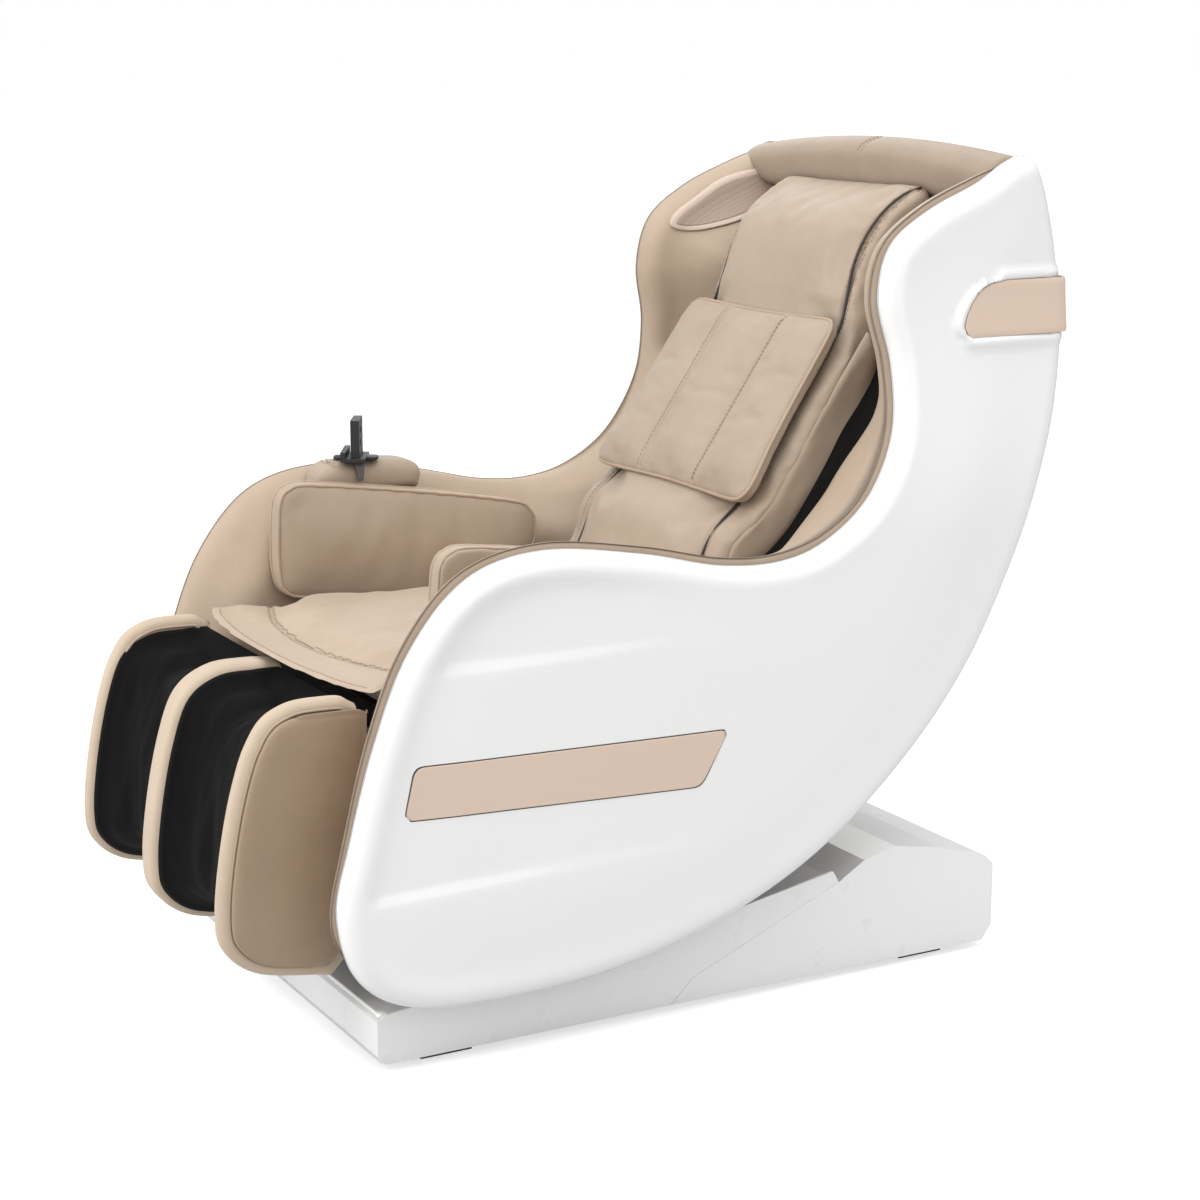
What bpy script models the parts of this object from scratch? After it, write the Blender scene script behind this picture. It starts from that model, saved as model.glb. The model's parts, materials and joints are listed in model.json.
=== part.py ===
"""Massage chair: reclining body on a sliding carriage, swinging calf rest, roller massage unit.

Metres, +Z up. The chair faces -Y, x = 0 is its middle plane, z = 0 is the floor and y = 0 is
half way along its length.
"left" and "right" are the sitter's, so left is +X.
"""
from math import atan2, cos, hypot, pi, radians, sin

import bmesh
import bpy
from mathutils import Matrix, Vector

GAP = 0.0004                    # air between pieces that rest on each other
MIDDLE_Y = -0.09693             # outlines below count y from under the seat; the origin is mid-length

# side shells and the padded liners inside them
SHELL_OUTER_X = 0.365
SHELL_INNER_X = 0.3380
SHELL_EDGE_R = 0.018
SHELL_EDGE_DEEP = 0.024         # the rounded edge starts this far inside the outer face
SHELL_WALL = 0.005
HEAD_TAPER = 0.040              # the shells lean in this much towards the head
TAPER_Z = (0.60, 0.95)
LEAN_SLICES = 8
LEAN_SLACK = 0.0025             # more air where both neighbours lean
LINER_INNER_X = 0.272
WING_INNER_X = 0.2050
WING_TOP = 1.030
WING_FOOT_X = 0.332
WING_LEAN = 0.1114              # sideways lean of the wing's flat outer face per metre of height
SPEAKER_CENTRE = Vector((0.2440, 0.284, 0.982))
SPEAKER_FACING = Vector((-0.80, -0.58, 0.0)).normalized()
SPEAKER_LONG = Vector((-0.12, 0.93, 0.36))
SPEAKER_LENGTH = 0.150
SPEAKER_WIDTH = 0.066

# base
BASE_HALF = 0.299
BASE_FRONT_Y = -0.507
BASE_REAR_Y = 0.421
BASE_LOW_Z = 0.010
COVER_WALL = 0.004
WHEEL_X = 0.215
WHEEL_AXIS = (0.388, 0.030)
WHEEL_R = 0.022
WHEEL_WIDTH = 0.018
SWITCH_PLACE = (0.20, BASE_REAR_Y - 0.003, 0.082)
SWITCH_SIZE = (0.026, 0.020, 0.013)
RAIL_X = (0.240, 0.280)
RAIL_Z = (0.030, 0.072)

# joints, as (y, z) of an axis along X
RECLINE_AXIS = (-0.18, 0.34)
LEG_AXIS = (-0.545, 0.335)
RECLINE_MOTOR_AXIS = (-0.42, 0.145)
RECLINE_LUG = (-0.04, 0.22)
LEG_MOTOR_AXIS = (-0.20, 0.27)
LEG_LUG = (-0.495, 0.300)
SHAFT_R = 0.011
LEG_SHAFT_R = 0.008

# calf rest
CALF_HALF = 0.262
CALF_DIVIDER = 0.026
CALF_REAR_Y = -0.560

# seat, arms and back
SEAT_HALF = 0.224
ARM_PAD_X = (0.236, LINER_INNER_X - GAP)
BACK_ORIGIN = Vector((0.0, 0.088, 0.640))
BACK_ANGLE = radians(34.5)      # lean of the back from upright
BACK_UP = Vector((0.0, sin(BACK_ANGLE), cos(BACK_ANGLE)))
BACK_OUT = Vector((0.0, cos(BACK_ANGLE), -sin(BACK_ANGLE)))
BACK_PAD_HALF = 0.200
BACK_PAD_THICK = 0.055
PILLOW_THICK = 0.030
PILLOW_SPAN = (-0.012, 0.262)    # along the back

# hood, back shell and the trim band round the back
HOOD_OUTLINE = [
    (0.388, 1.0590), (0.400, 1.0740), (0.420, 1.0790), (0.440, 1.0720), (0.453, 1.0560), (0.461, 1.0350),
    (0.451, 1.0330), (0.438, 1.0500), (0.416, 1.0585)]
HOOD_RISE = 0.018               # the hood's middle stands this much above its ends
BACK_SHELL_LOW = 0.400
BACK_SHELL_TOP = 1.021
BAND_Z = (0.853, 0.924)
BAND_THICK = 0.003
BAND_FRONT_Y = (0.322, 0.372)

# massage unit, as distances along the back and behind the face of the back pad
UNIT_START = 0.02
KNEAD_DEPTH = 0.098
ROLLER_SPREAD = 0.045
ROLLER_DEPTH = 0.085
ROLLER_R = 0.019

# outlines, as (y, z) points
SHELL_OUTLINE = [
    (-0.574, 0.225), (-0.556, 0.310), (-0.522, 0.427), (-0.476, 0.532), (-0.402, 0.611),
    (-0.300, 0.636), (-0.164, 0.619), (-0.050, 0.593), (0.040, 0.590), (0.108, 0.611),
    (0.172, 0.661), (0.213, 0.738), (0.218, 0.823), (0.203, 0.904), (0.221, 0.972),
    (0.279, 1.015), (0.353, 1.047), (0.400, 1.074), (0.432, 1.080), (0.454, 1.058),
    (0.475, 0.992), (0.489, 0.917), (0.491, 0.853), (0.472, 0.755), (0.440, 0.662),
    (0.393, 0.545), (0.326, 0.420), (0.234, 0.310), (0.110, 0.207), (-0.030, 0.138),
    (-0.200, 0.094), (-0.370, 0.084), (-0.485, 0.097), (-0.550, 0.143)]
REAR_EDGE = SHELL_OUTLINE[19:27]
LINER_OUTLINE = [
    (-0.580, 0.225), (-0.562, 0.310), (-0.530, 0.429), (-0.484, 0.537), (-0.409, 0.618),
    (-0.301, 0.644), (-0.163, 0.627), (-0.050, 0.602), (0.030, 0.598), (0.085, 0.606),
    (0.150, 0.590), (0.215, 0.560), (0.250, 0.470), (0.200, 0.385), (0.050, 0.360),
    (-0.300, 0.350), (-0.470, 0.330), (-0.523, 0.270), (-0.536, 0.200), (-0.546, 0.162),
    (-0.562, 0.158), (-0.575, 0.180)]
WING_OUTER = [
    (0.104, 0.6190), (0.163, 0.663), (0.203, 0.740), (0.207, 0.823), (0.192, 0.904),
    (0.211, 0.974), (0.272, 1.021), (0.347, 1.052)]
WING_INNER = [
    (0.175, 0.6200), (0.200, 0.670), (0.240, 0.745), (0.272, 0.823), (0.292, 0.895),
    (0.330, 0.950), (0.370, 0.995), (0.405, 1.030)]
BACK_PAD_FACE = [
    (-0.004, 0.500), (0.020, 0.545), (0.042, 0.598), (0.096, 0.645), (0.168, 0.752),
    (0.232, 0.848), (0.247, 0.895), (0.266, 0.950), (0.302, 1.003), (0.348, 1.036),
    (0.385, 1.048)]
BACK_PAD_CLOSING = [(0.45, 1.05), (0.30, 0.45)]
CALF_OUTLINE = [
    (CALF_REAR_Y, 0.122), (-0.640, 0.138), (-0.681, 0.172), (-0.690, 0.215), (-0.682, 0.290),
    (-0.664, 0.372), (-0.640, 0.430), (-0.597, 0.457), (-0.545, 0.460), (-0.508, 0.456),
    (-0.508, 0.400), (CALF_REAR_Y, 0.368)]
CALF_WING_BACK = [
    (-0.508, 0.456), (-0.510, 0.400), (-0.512, 0.300), (-0.514, 0.220), (-0.526, 0.150), (-0.548, 0.124)]
SEAM_LINE = [(-0.095, BASE_LOW_Z), (-0.061, 0.042), (0.164, 0.134)]
REAR_COVER_TOP = [
    (0.205, 0.158), (0.255, 0.170), (0.330, 0.156), (0.406, 0.133), (BASE_REAR_Y, 0.119),
    (BASE_REAR_Y, 0.030), (BASE_REAR_Y - 0.016, BASE_LOW_Z)]
ACCENT_STRIP = [(-0.476, 0.396), (-0.052, 0.389), (-0.092, 0.321), (-0.491, 0.333)]

# remote and its holder on the right arm
HOUSING_BOX = ((-0.3200, -0.312, 0.602), (-0.2720, -0.190, 0.6520))
HOLDER_POST = (-0.284, -0.266)
HOLDER_Z = 0.6545
REMOTE_TURN = radians(-28.98)
REMOTE_HALF = 0.027
REMOTE_THICK = 0.006
REMOTE_TOP = 0.712
BUTTON_Z = (0.680, 0.697)

looks = {}
bodies = {}
places = {}


def clear_scene():
    """Start from an empty scene."""
    for leftover in list(bpy.data.objects):
        bpy.data.objects.remove(leftover, do_unlink=True)


def look(name, colour, roughness, metallic=0.0):
    """A plain Principled material, kept under its name."""
    material = bpy.data.materials.new(name)
    material.use_nodes = True
    shader = material.node_tree.nodes["Principled BSDF"]
    shader.inputs["Base Color"].default_value = (*colour, 1.0)
    shader.inputs["Roughness"].default_value = roughness
    shader.inputs["Metallic"].default_value = metallic
    looks[name] = material


def body(name, place=(0, 0, 0), parent=None):
    """An empty on a joint's axis; the pieces of one moving body hang on it."""
    empty = bpy.data.objects.new("joint_" + name, None)
    empty.empty_display_size = 0.05
    bpy.context.collection.objects.link(empty)
    places[name] = Vector(place)
    empty.location = places[name]
    if parent:
        empty.parent = bodies[parent]
        empty.location = places[name] - places[parent]
    bodies[name] = empty


def add(name, shape, finish, owner, smooth=False):
    """Make one named piece from a shape in world metres and hang it on its body."""
    bmesh.ops.recalc_face_normals(shape, faces=shape.faces)
    bmesh.ops.translate(shape, verts=shape.verts, vec=-places[owner])
    mesh = bpy.data.meshes.new(name)
    shape.to_mesh(mesh)
    shape.free()
    mesh.materials.append(looks[finish])
    if smooth:
        mesh.shade_smooth()
        mesh.set_sharp_from_angle(angle=radians(35))
    piece = bpy.data.objects.new(name, mesh)
    bpy.context.collection.objects.link(piece)
    piece.parent = bodies[owner]
    return piece


def combine(piece, shape, operation):
    """Join a shape onto a piece, or cut it out, with a Boolean."""
    bmesh.ops.recalc_face_normals(shape, faces=shape.faces)
    mesh = bpy.data.meshes.new(piece.name + "_tool")
    shape.to_mesh(mesh)
    shape.free()
    tool = bpy.data.objects.new(mesh.name, mesh)
    tool.hide_render = True
    tool.display_type = "WIRE"
    tool.parent = bodies["base"]
    bpy.context.collection.objects.link(tool)
    modifier = piece.modifiers.new(operation.lower(), "BOOLEAN")
    modifier.operation = operation
    modifier.object = tool


def unite(piece, *shapes):
    for shape in shapes:
        combine(piece, shape, "UNION")


def cut(piece, *shapes):
    for shape in shapes:
        combine(piece, shape, "DIFFERENCE")


def loft(rings):
    """A closed skin through rings of points, with a flat face on each end."""
    shape = bmesh.new()
    skin = [[shape.verts.new(point) for point in ring] for ring in rings]
    count = len(rings[0])
    for lower, upper in zip(skin, skin[1:]):
        for i in range(count):
            j = (i + 1) % count
            shape.faces.new((lower[i], lower[j], upper[j], upper[i]))
    shape.faces.new(skin[0])
    shape.faces.new(skin[-1])
    return shape


def slab(outline, x0, x1):
    """A side outline of (y, z) points carried from x0 to x1."""
    return loft([[(x, y, z) for y, z in outline] for x in (x0, x1)])


def box(low, high):
    outline = [(low[1], low[2]), (high[1], low[2]), (high[1], high[2]), (low[1], high[2])]
    return slab(outline, low[0], high[0])


def rod(start, end, radius, sides=14):
    """A round bar between two points."""
    start = Vector(start)
    turn = (Vector(end) - start).to_track_quat("Z", "Y")
    length = (Vector(end) - start).length
    rings = []
    for height in (0.0, length):
        ring = []
        for i in range(sides):
            angle = 2 * pi * i / sides
            ring.append(start + turn @ Vector((radius * cos(angle), radius * sin(angle), height)))
        rings.append(ring)
    return loft(rings)


def cross_rod(centre, x0, x1, radius, sides=14):
    """A round bar along X through a (y, z) centre."""
    return rod((x0, *centre), (x1, *centre), radius, sides)


def smooth_open(points, steps):
    """Points along a smooth curve through the given ones, ends kept."""
    padded = [points[0], *points, points[-1]]
    curve = []
    for i in range(1, len(padded) - 2):
        for step in range(steps):
            curve.append(spline(padded[i - 1:i + 3], step / steps))
    curve.append(points[-1])
    return curve


def smooth_closed(points, steps):
    """Points along a smooth closed curve through the given ones."""
    count = len(points)
    curve = []
    for i in range(count):
        near = [points[(i + k - 1) % count] for k in range(4)]
        for step in range(steps):
            curve.append(spline(near, step / steps))
    return curve


def spline(near, t):
    """Catmull-Rom point between the middle two of four points."""
    a, b, c, d = near
    return tuple(
        b[k] + 0.5 * t * (c[k] - a[k] + t * (2 * a[k] - 5 * b[k] + 4 * c[k] - d[k]
                          + t * (3 * (b[k] - c[k]) + d[k] - a[k])))
        for k in range(2))


def inset(outline, distance):
    """The outline moved inwards by a distance, point by point."""
    count = len(outline)
    area = sum(outline[i - 1][0] * outline[i][1] - outline[i][0] * outline[i - 1][1]
               for i in range(count))
    side = 1 if area > 0 else -1
    moved = []
    for i in range(count):
        along_y = outline[(i + 1) % count][0] - outline[i - 1][0]
        along_z = outline[(i + 1) % count][1] - outline[i - 1][1]
        length = hypot(along_y, along_z)
        moved.append((outline[i][0] - side * distance * along_z / length,
                      outline[i][1] + side * distance * along_y / length))
    return moved


def round_corners(points, radius, steps=3):
    """A polygon whose corners are rounded by short curves."""
    count = len(points)
    rounded = []
    for i in range(count):
        corner = Vector(points[i])
        before = (Vector(points[i - 1]) - corner).normalized()
        after = (Vector(points[(i + 1) % count]) - corner).normalized()
        for step in range(steps + 1):
            t = step / steps
            reach = radius * ((1 - t) ** 2 * before + t ** 2 * after)
            rounded.append(tuple(corner + reach))
    return rounded


def taper(z):
    """How far the shell's outer face leans in at this height."""
    t = min(max((z - TAPER_Z[0]) / (TAPER_Z[1] - TAPER_Z[0]), 0.0), 1.0)
    return HEAD_TAPER * t * t * (3 - 2 * t)


def rear_y(z):
    """Depth of the shell's rear edge at a height."""
    for (y0, z0), (y1, z1) in zip(REAR_EDGE, REAR_EDGE[1:]):
        if z1 <= z <= z0:
            return y0 + (y1 - y0) * (z0 - z) / (z0 - z1)
    return REAR_EDGE[-1][0] if z < REAR_EDGE[-1][1] else REAR_EDGE[0][0]


def on_back(x, along, depth):
    """A point given by its place along the back and its depth behind the pad's face."""
    return BACK_ORIGIN + BACK_UP * along + BACK_OUT * depth + Vector((x, 0, 0))


def back_box(x0, x1, along0, along1, depth0, depth1):
    """A box that leans with the back."""
    corners = [(along0, depth0), (along1, depth0), (along1, depth1), (along0, depth1)]
    return loft([[on_back(x, along, depth) for along, depth in corners] for x in (x0, x1)])


def back_rod(x0, x1, along, depth, radius, sides=14):
    return rod(on_back(x0, along, depth), on_back(x1, along, depth), radius, sides)


def side_name(stem, side):
    return stem + ("_left" if side > 0 else "_right")


def make_looks():
    look("shell_white", (0.86, 0.86, 0.86), 0.22)
    look("accent_rose", (0.72, 0.58, 0.48), 0.35)
    look("leather_beige", (0.62, 0.49, 0.36), 0.5)
    look("calf_fabric", (0.012, 0.012, 0.012), 0.85)
    look("grille", (0.42, 0.32, 0.25), 0.6)
    look("frame_steel", (0.10, 0.10, 0.11), 0.45, 1.0)
    look("bright_steel", (0.60, 0.60, 0.62), 0.3, 1.0)
    look("black_plastic", (0.02, 0.02, 0.02), 0.5)
    look("rubber", (0.015, 0.015, 0.015), 0.8)
    look("roller_plastic", (0.08, 0.08, 0.09), 0.4)


def make_bodies():
    """The tree of moving bodies, each empty on its joint's axis."""
    body("base")
    body("carriage", (0, *RECLINE_AXIS), "base")
    body("chair", (0, *RECLINE_AXIS), "carriage")
    body("recline_motor", (0, *RECLINE_MOTOR_AXIS), "carriage")
    body("recline_rod", (0, *RECLINE_MOTOR_AXIS), "recline_motor")
    body("legrest", (0, *LEG_AXIS), "chair")
    body("leg_motor", (0, *LEG_MOTOR_AXIS), "chair")
    body("leg_rod", (0, *LEG_MOTOR_AXIS), "leg_motor")
    body("massage_unit", on_back(0, UNIT_START, KNEAD_DEPTH), "chair")
    body("knead_shaft", on_back(0, UNIT_START, KNEAD_DEPTH), "massage_unit")
    for side in (1, -1):
        arm = side_name("massage_arm", side)
        body(arm, on_back(0, UNIT_START, KNEAD_DEPTH), "massage_unit")
        for end, along in (("upper", 1), ("lower", -1)):
            place = on_back(0, UNIT_START + along * ROLLER_SPREAD, ROLLER_DEPTH)
            body(side_name("roller_" + end, side), place, arm)
    body("pillow", on_back(0, PILLOW_SPAN[1], -0.0185), "chair")
    body("holder", (HOLDER_POST[0], HOLDER_POST[1], HOLDER_Z), "chair")
    body("remote", (HOLDER_POST[0], HOLDER_POST[1], HOLDER_Z), "holder")
    body("remote_power", remote_point(0, 0, BUTTON_Z[1]), "remote")
    body("remote_mode", remote_point(0, 0, BUTTON_Z[0]), "remote")
    body("switch", SWITCH_PLACE, "base")
    for side in (1, -1):
        body(side_name("wheel", side), (side * WHEEL_X, *WHEEL_AXIS), "base")


# ---- base -------------------------------------------------------------------------------


def make_base():
    low, high = RAIL_Z
    frame = add("base_frame", box((RAIL_X[0], -0.490, low), (RAIL_X[1], 0.365, high)),
                "frame_steel", "base")
    unite(frame, box((-RAIL_X[1], -0.490, low), (-RAIL_X[0], 0.365, high)))
    for y in (-0.480, -0.05, 0.335):
        unite(frame, box((-0.25, y, low + 0.003), (0.25, y + 0.025, high - 0.006)))

    front = add("base_cover_front",
                slab([(BASE_FRONT_Y, BASE_LOW_Z + 0.012), (BASE_FRONT_Y + 0.0035, BASE_LOW_Z + 0.0035),
                      (BASE_FRONT_Y + 0.012, BASE_LOW_Z), *SEAM_LINE, (0.155, 0.150), (0.050, 0.132),
                      (-0.100, 0.105), (-0.440, 0.080), (BASE_FRONT_Y + 0.012, 0.074),
                      (BASE_FRONT_Y, 0.066)],
                     -BASE_HALF, BASE_HALF), "shell_white", "base")
    inner = BASE_HALF - COVER_WALL
    cut(front, box((-inner, BASE_FRONT_Y + COVER_WALL, -0.05), (inner, 0.30, 0.30)))

    seam = [(y + GAP * 2, z) for y, z in SEAM_LINE]
    profile = seam + REAR_COVER_TOP
    rear = add("base_cover_rear", slab(profile, -BASE_HALF, BASE_HALF), "shell_white", "base")
    hollow = [(-0.20, -0.05), (-0.20, 0.042), (0.10, 0.10), (0.168, 0.130), (0.207, 0.153),
              (0.255, 0.1655), (0.328, 0.152), (0.402, 0.1295), (BASE_REAR_Y - COVER_WALL, 0.115),
              (BASE_REAR_Y - COVER_WALL, -0.05)]
    cut(rear, slab(hollow, -inner, inner))
    size = SWITCH_SIZE
    margin = 0.002
    cut(rear, box((SWITCH_PLACE[0] - size[0] / 2 - margin, 0.40, SWITCH_PLACE[2] - size[1] / 2 - margin),
                  (SWITCH_PLACE[0] + size[0] / 2 + margin, 0.45, SWITCH_PLACE[2] + size[1] / 2 + margin)))

    for side in (1, -1):
        for end, y in (("front", -0.442), ("rear", 0.278)):
            name = side_name("foot_" + end, side)
            outline = [(y, 0.0), (y + 0.070, 0.0), (y + 0.064, RAIL_Z[0] - GAP), (y + 0.006, RAIL_Z[0] - GAP)]
            add(name, slab(outline, side * 0.282, side * 0.240), "rubber", "base")

    add("power_supply", box((-0.15, 0.14, 0.034), (0.02, 0.30, 0.095)), "frame_steel", "base")

    rocker = [(-0.003, -0.010), (0.005, -0.010), (0.0025, 0.0), (0.002, 0.010), (-0.003, 0.010)]
    outline = [(SWITCH_PLACE[1] + y, SWITCH_PLACE[2] + z) for y, z in rocker]
    add("power_switch", slab(outline, SWITCH_PLACE[0] - size[0] / 2, SWITCH_PLACE[0] + size[0] / 2),
        "black_plastic", "switch")
    for side in (1, -1):
        middle = side * WHEEL_X
        wheel = add(side_name("wheel", side),
                    cross_rod(WHEEL_AXIS, middle - WHEEL_WIDTH / 2, middle + WHEEL_WIDTH / 2, WHEEL_R, 24),
                    "rubber", side_name("wheel", side), True)
        cut(wheel, cross_rod(WHEEL_AXIS, middle - 0.02, middle + 0.02, 0.0055))
    unite(frame, cross_rod(WHEEL_AXIS, -0.262, 0.262, 0.005))
    bracket = [(0.352, 0.045), (0.382, 0.0230), (0.396, 0.024), (0.396, 0.040), (0.352, 0.062)]
    unite(frame, *[slab(bracket, side * 0.245, side * 0.265) for side in (1, -1)])


# ---- carriage and recline drive ----------------------------------------------------------
def upright_outline():
    """Side of a pivot upright: a wide foot that runs up to a round head."""
    y, z = RECLINE_AXIS
    head = [(y + 0.028 * cos(a), z + 0.028 * sin(a)) for a in [pi * k / 6 for k in range(7)]]
    return [(y - 0.11, 0.080), (y + 0.11, 0.080)] + head


def make_carriage():
    frame = add("carriage_frame", box((0.222, -0.450, 0.0765), (0.255, 0.020, 0.100)),
                "frame_steel", "carriage")
    unite(frame, box((-0.255, -0.450, 0.0765), (-0.222, 0.020, 0.100)))
    for y in (-0.446, -0.005):
        unite(frame, box((-0.23, y, 0.0785), (0.23, y + 0.022, 0.098)))
    for side in (1, -1):
        unite(frame, slab(upright_outline(), side * 0.2425, side * 0.2545))
    ear = [(-0.445, 0.090), (-0.428, 0.090), (-0.408, 0.140), (-0.410, 0.155), (-0.430, 0.155)]
    unite(frame, *[slab(ear, x - 0.004, x + 0.004) for x in (-0.036, 0.036)])
    cut(frame, cross_rod(RECLINE_AXIS, -0.3, 0.3, SHAFT_R + GAP, 18))
    cut(frame, cross_rod(RECLINE_MOTOR_AXIS, -0.05, 0.05, 0.0055))
    add("recline_shaft", cross_rod(RECLINE_AXIS, -0.262, 0.262, SHAFT_R, 18),
        "bright_steel", "carriage", True)


def make_drive(owner, rod_owner, start, lug, motor_name, rod_name, rod_start):
    """A motor with a tube, hinged at start, and a rod that ends in a fork round the lug."""
    start = Vector((0, *start))
    end = Vector((0, *lug))
    reach = (end - start).length
    along = (end - start).normalized()
    tilt = Matrix.Rotation(atan2(along.z, along.y), 4, "X")
    home = Matrix.Translation(start) @ tilt

    def placed(shape):
        shape.transform(home)
        return shape

    tube_end = reach * 0.60
    motor = add(motor_name, placed(box((-0.026, 0.012, -0.026), (0.026, 0.125, 0.026))),
                "black_plastic", owner)
    unite(motor, placed(box((-0.012, -0.010, -0.010), (0.012, 0.020, 0.010))))
    unite(motor, placed(rod((0, 0.10, 0), (0, tube_end, 0), 0.017, 16)))
    cut(motor, placed(rod((0, 0.035, 0), (0, tube_end + 0.02, 0), 0.0095, 16)))
    cut(motor, placed(rod((-0.05, 0, 0), (0.05, 0, 0), 0.0055, 12)))
    bar = add(rod_name, placed(rod((0, rod_start, 0), (0, reach - 0.026, 0), 0.0085, 16)),
              "bright_steel", rod_owner)
    unite(bar, placed(box((-0.014, reach - 0.034, -0.010), (0.014, reach - 0.027, 0.010))))
    for side in (1, -1):
        cheek = box((side * 0.0095, reach - 0.030, -0.010), (side * 0.014, reach + 0.010, 0.010))
        unite(bar, placed(cheek))


# ---- seat and back structure ----------------------------------------------------------------
def make_frames():
    seat = add("seat_frame", box((0.226, -0.395, 0.300), (0.2385, 0.090, 0.400)),
               "frame_steel", "chair")
    unite(seat, box((-0.2385, -0.395, 0.300), (-0.226, 0.090, 0.400)))
    unite(seat, box((-0.2690, -0.402, 0.362), (0.2690, -0.382, 0.398)))
    unite(seat, box((-0.23, 0.068, 0.362), (0.23, 0.088, 0.398)))
    unite(seat, box((-0.23, -0.065, 0.304), (0.23, -0.040, 0.326)))
    unite(seat, box((-0.23, -0.240, 0.332), (0.23, -0.222, 0.350)))
    lug = [(-0.050, 0.215), (-0.030, 0.215), (-0.030, 0.310), (-0.060, 0.310)]
    unite(seat, slab(lug, -0.006, 0.006))
    for side in (1, -1):
        y, z = LEG_AXIS
        arm = [(-0.390, 0.365), (-0.390, 0.395), (y + 0.01, z + 0.017), (y - 0.010, z + 0.014),
               (y - 0.016, z), (y - 0.010, z - 0.014), (y + 0.01, z - 0.015)]
        unite(seat, slab(arm, side * 0.2638, side * 0.2690))
        ear = [(-0.234, 0.342), (-0.234, 0.325), (-0.213, 0.258), (-0.190, 0.258), (-0.190, 0.282),
               (-0.215, 0.342)]
        unite(seat, slab(ear, side * 0.030, side * 0.037))
    cut(seat, cross_rod(RECLINE_AXIS, -0.3, 0.3, SHAFT_R + GAP, 18))
    cut(seat, cross_rod(LEG_AXIS, -0.3, 0.3, LEG_SHAFT_R + GAP))
    cut(seat, cross_rod(LEG_MOTOR_AXIS, -0.05, 0.05, 0.0055))
    add("legrest_shaft", cross_rod(LEG_AXIS, -0.2700, 0.2700, LEG_SHAFT_R), "bright_steel", "chair", True)

    back = add("back_frame", back_box(0.166, 0.190, -0.09, 0.37, 0.100, 0.130), "frame_steel", "chair")
    unite(back, back_box(-0.190, -0.166, -0.09, 0.37, 0.100, 0.130))
    for along in (-0.085, 0.345):
        unite(back, back_box(-0.18, 0.18, along, along + 0.020, 0.104, 0.126))
    add("air_pump", box((0.060, -0.190, 0.225), (0.200, -0.080, 0.300)), "black_plastic", "chair")
    add("control_box", box((-0.200, -0.200, 0.250), (-0.060, -0.080, 0.300)), "black_plastic", "chair")


# ---- shells, liners, hood -------------------------------------------------------------------
def lean(shape, side):
    """Slice a shape at several heights, then lean it in towards the head."""
    for k in range(LEAN_SLICES):
        height = TAPER_Z[0] + (TAPER_Z[1] - TAPER_Z[0]) * k / (LEAN_SLICES - 1)
        geometry = shape.verts[:] + shape.edges[:] + shape.faces[:]
        bmesh.ops.bisect_plane(shape, geom=geometry, dist=1e-6, plane_co=(0, 0, height), plane_no=(0, 0, 1))
    for vertex in shape.verts:
        vertex.co.x -= side * taper(vertex.co.z)
    return shape


def make_shell(side):
    """A dished side cover: a rounded outer edge and a hollow behind its skin."""
    outline = smooth_closed(SHELL_OUTLINE, 3)
    profile = [(SHELL_OUTER_X - SHELL_WALL, SHELL_EDGE_R + 0.002),
               (SHELL_OUTER_X - SHELL_EDGE_DEEP, SHELL_WALL),
               (SHELL_INNER_X, SHELL_WALL),
               (SHELL_INNER_X, 0.0)]
    for k in range(4):
        turn = k * pi / 6
        profile.append((SHELL_OUTER_X - SHELL_EDGE_DEEP * (1 - sin(turn)), SHELL_EDGE_R * (1 - cos(turn))))
    rings = [[(side * x, y, z) for y, z in inset(outline, distance)] for x, distance in profile]
    add(side_name("side_shell", side), lean(loft(rings), side), "shell_white", "chair", True)


def make_liners(side):
    """The padded inside of an arm, and the wing beside the head above it."""
    outline = smooth_closed(LINER_OUTLINE, 2)
    outer = SHELL_INNER_X - GAP
    edge = [(outer - taper(0.645), 0.0), (0.300, 0.002), (LINER_INNER_X, 0.008)]
    rings = [[(side * x, y, z) for y, z in inset(outline, distance)] for x, distance in edge]
    liner = add(side_name("arm_liner", side), loft(rings), "leather_beige", "chair", True)
    if side < 0:
        low, high = HOUSING_BOX
        cut(liner, box([v - GAP for v in low], (high[0] + 0.02, high[1] + GAP, high[2] + 0.05)))

    front_outer = smooth_open(WING_OUTER, 2)
    front_inner = smooth_open(WING_INNER, 2)
    rings = []
    for reach, share in ((0.0, 0.0), (0.25, 0.04), (0.60, 0.45), (1.0, 1.0)):
        ring = [(y0 + (y1 - y0) * share, z0 + (z1 - z0) * share)
                for (y0, z0), (y1, z1) in zip(front_outer, front_inner)]
        top = min(ring[-1][1], WING_TOP)
        heights = [top + (ring[0][1] - top) * k / 8 for k in range(9)]
        ring += [(rear_y(z) - 0.022, z) for z in heights]
        skin = [WING_FOOT_X - WING_LEAN * (z - TAPER_Z[0]) for y, z in ring]
        rings.append([(side * (x + reach * (WING_INNER_X - x)), y, z) for x, (y, z) in zip(skin, ring)])
    wing = add(side_name("head_wing", side), loft(rings), "leather_beige", "chair", True)
    cut(wing, speaker_leaf(side, 0.0005, 0.030))
    add(side_name("speaker", side), speaker_leaf(side, 0.0, 0.012), "grille", "chair")




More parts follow.
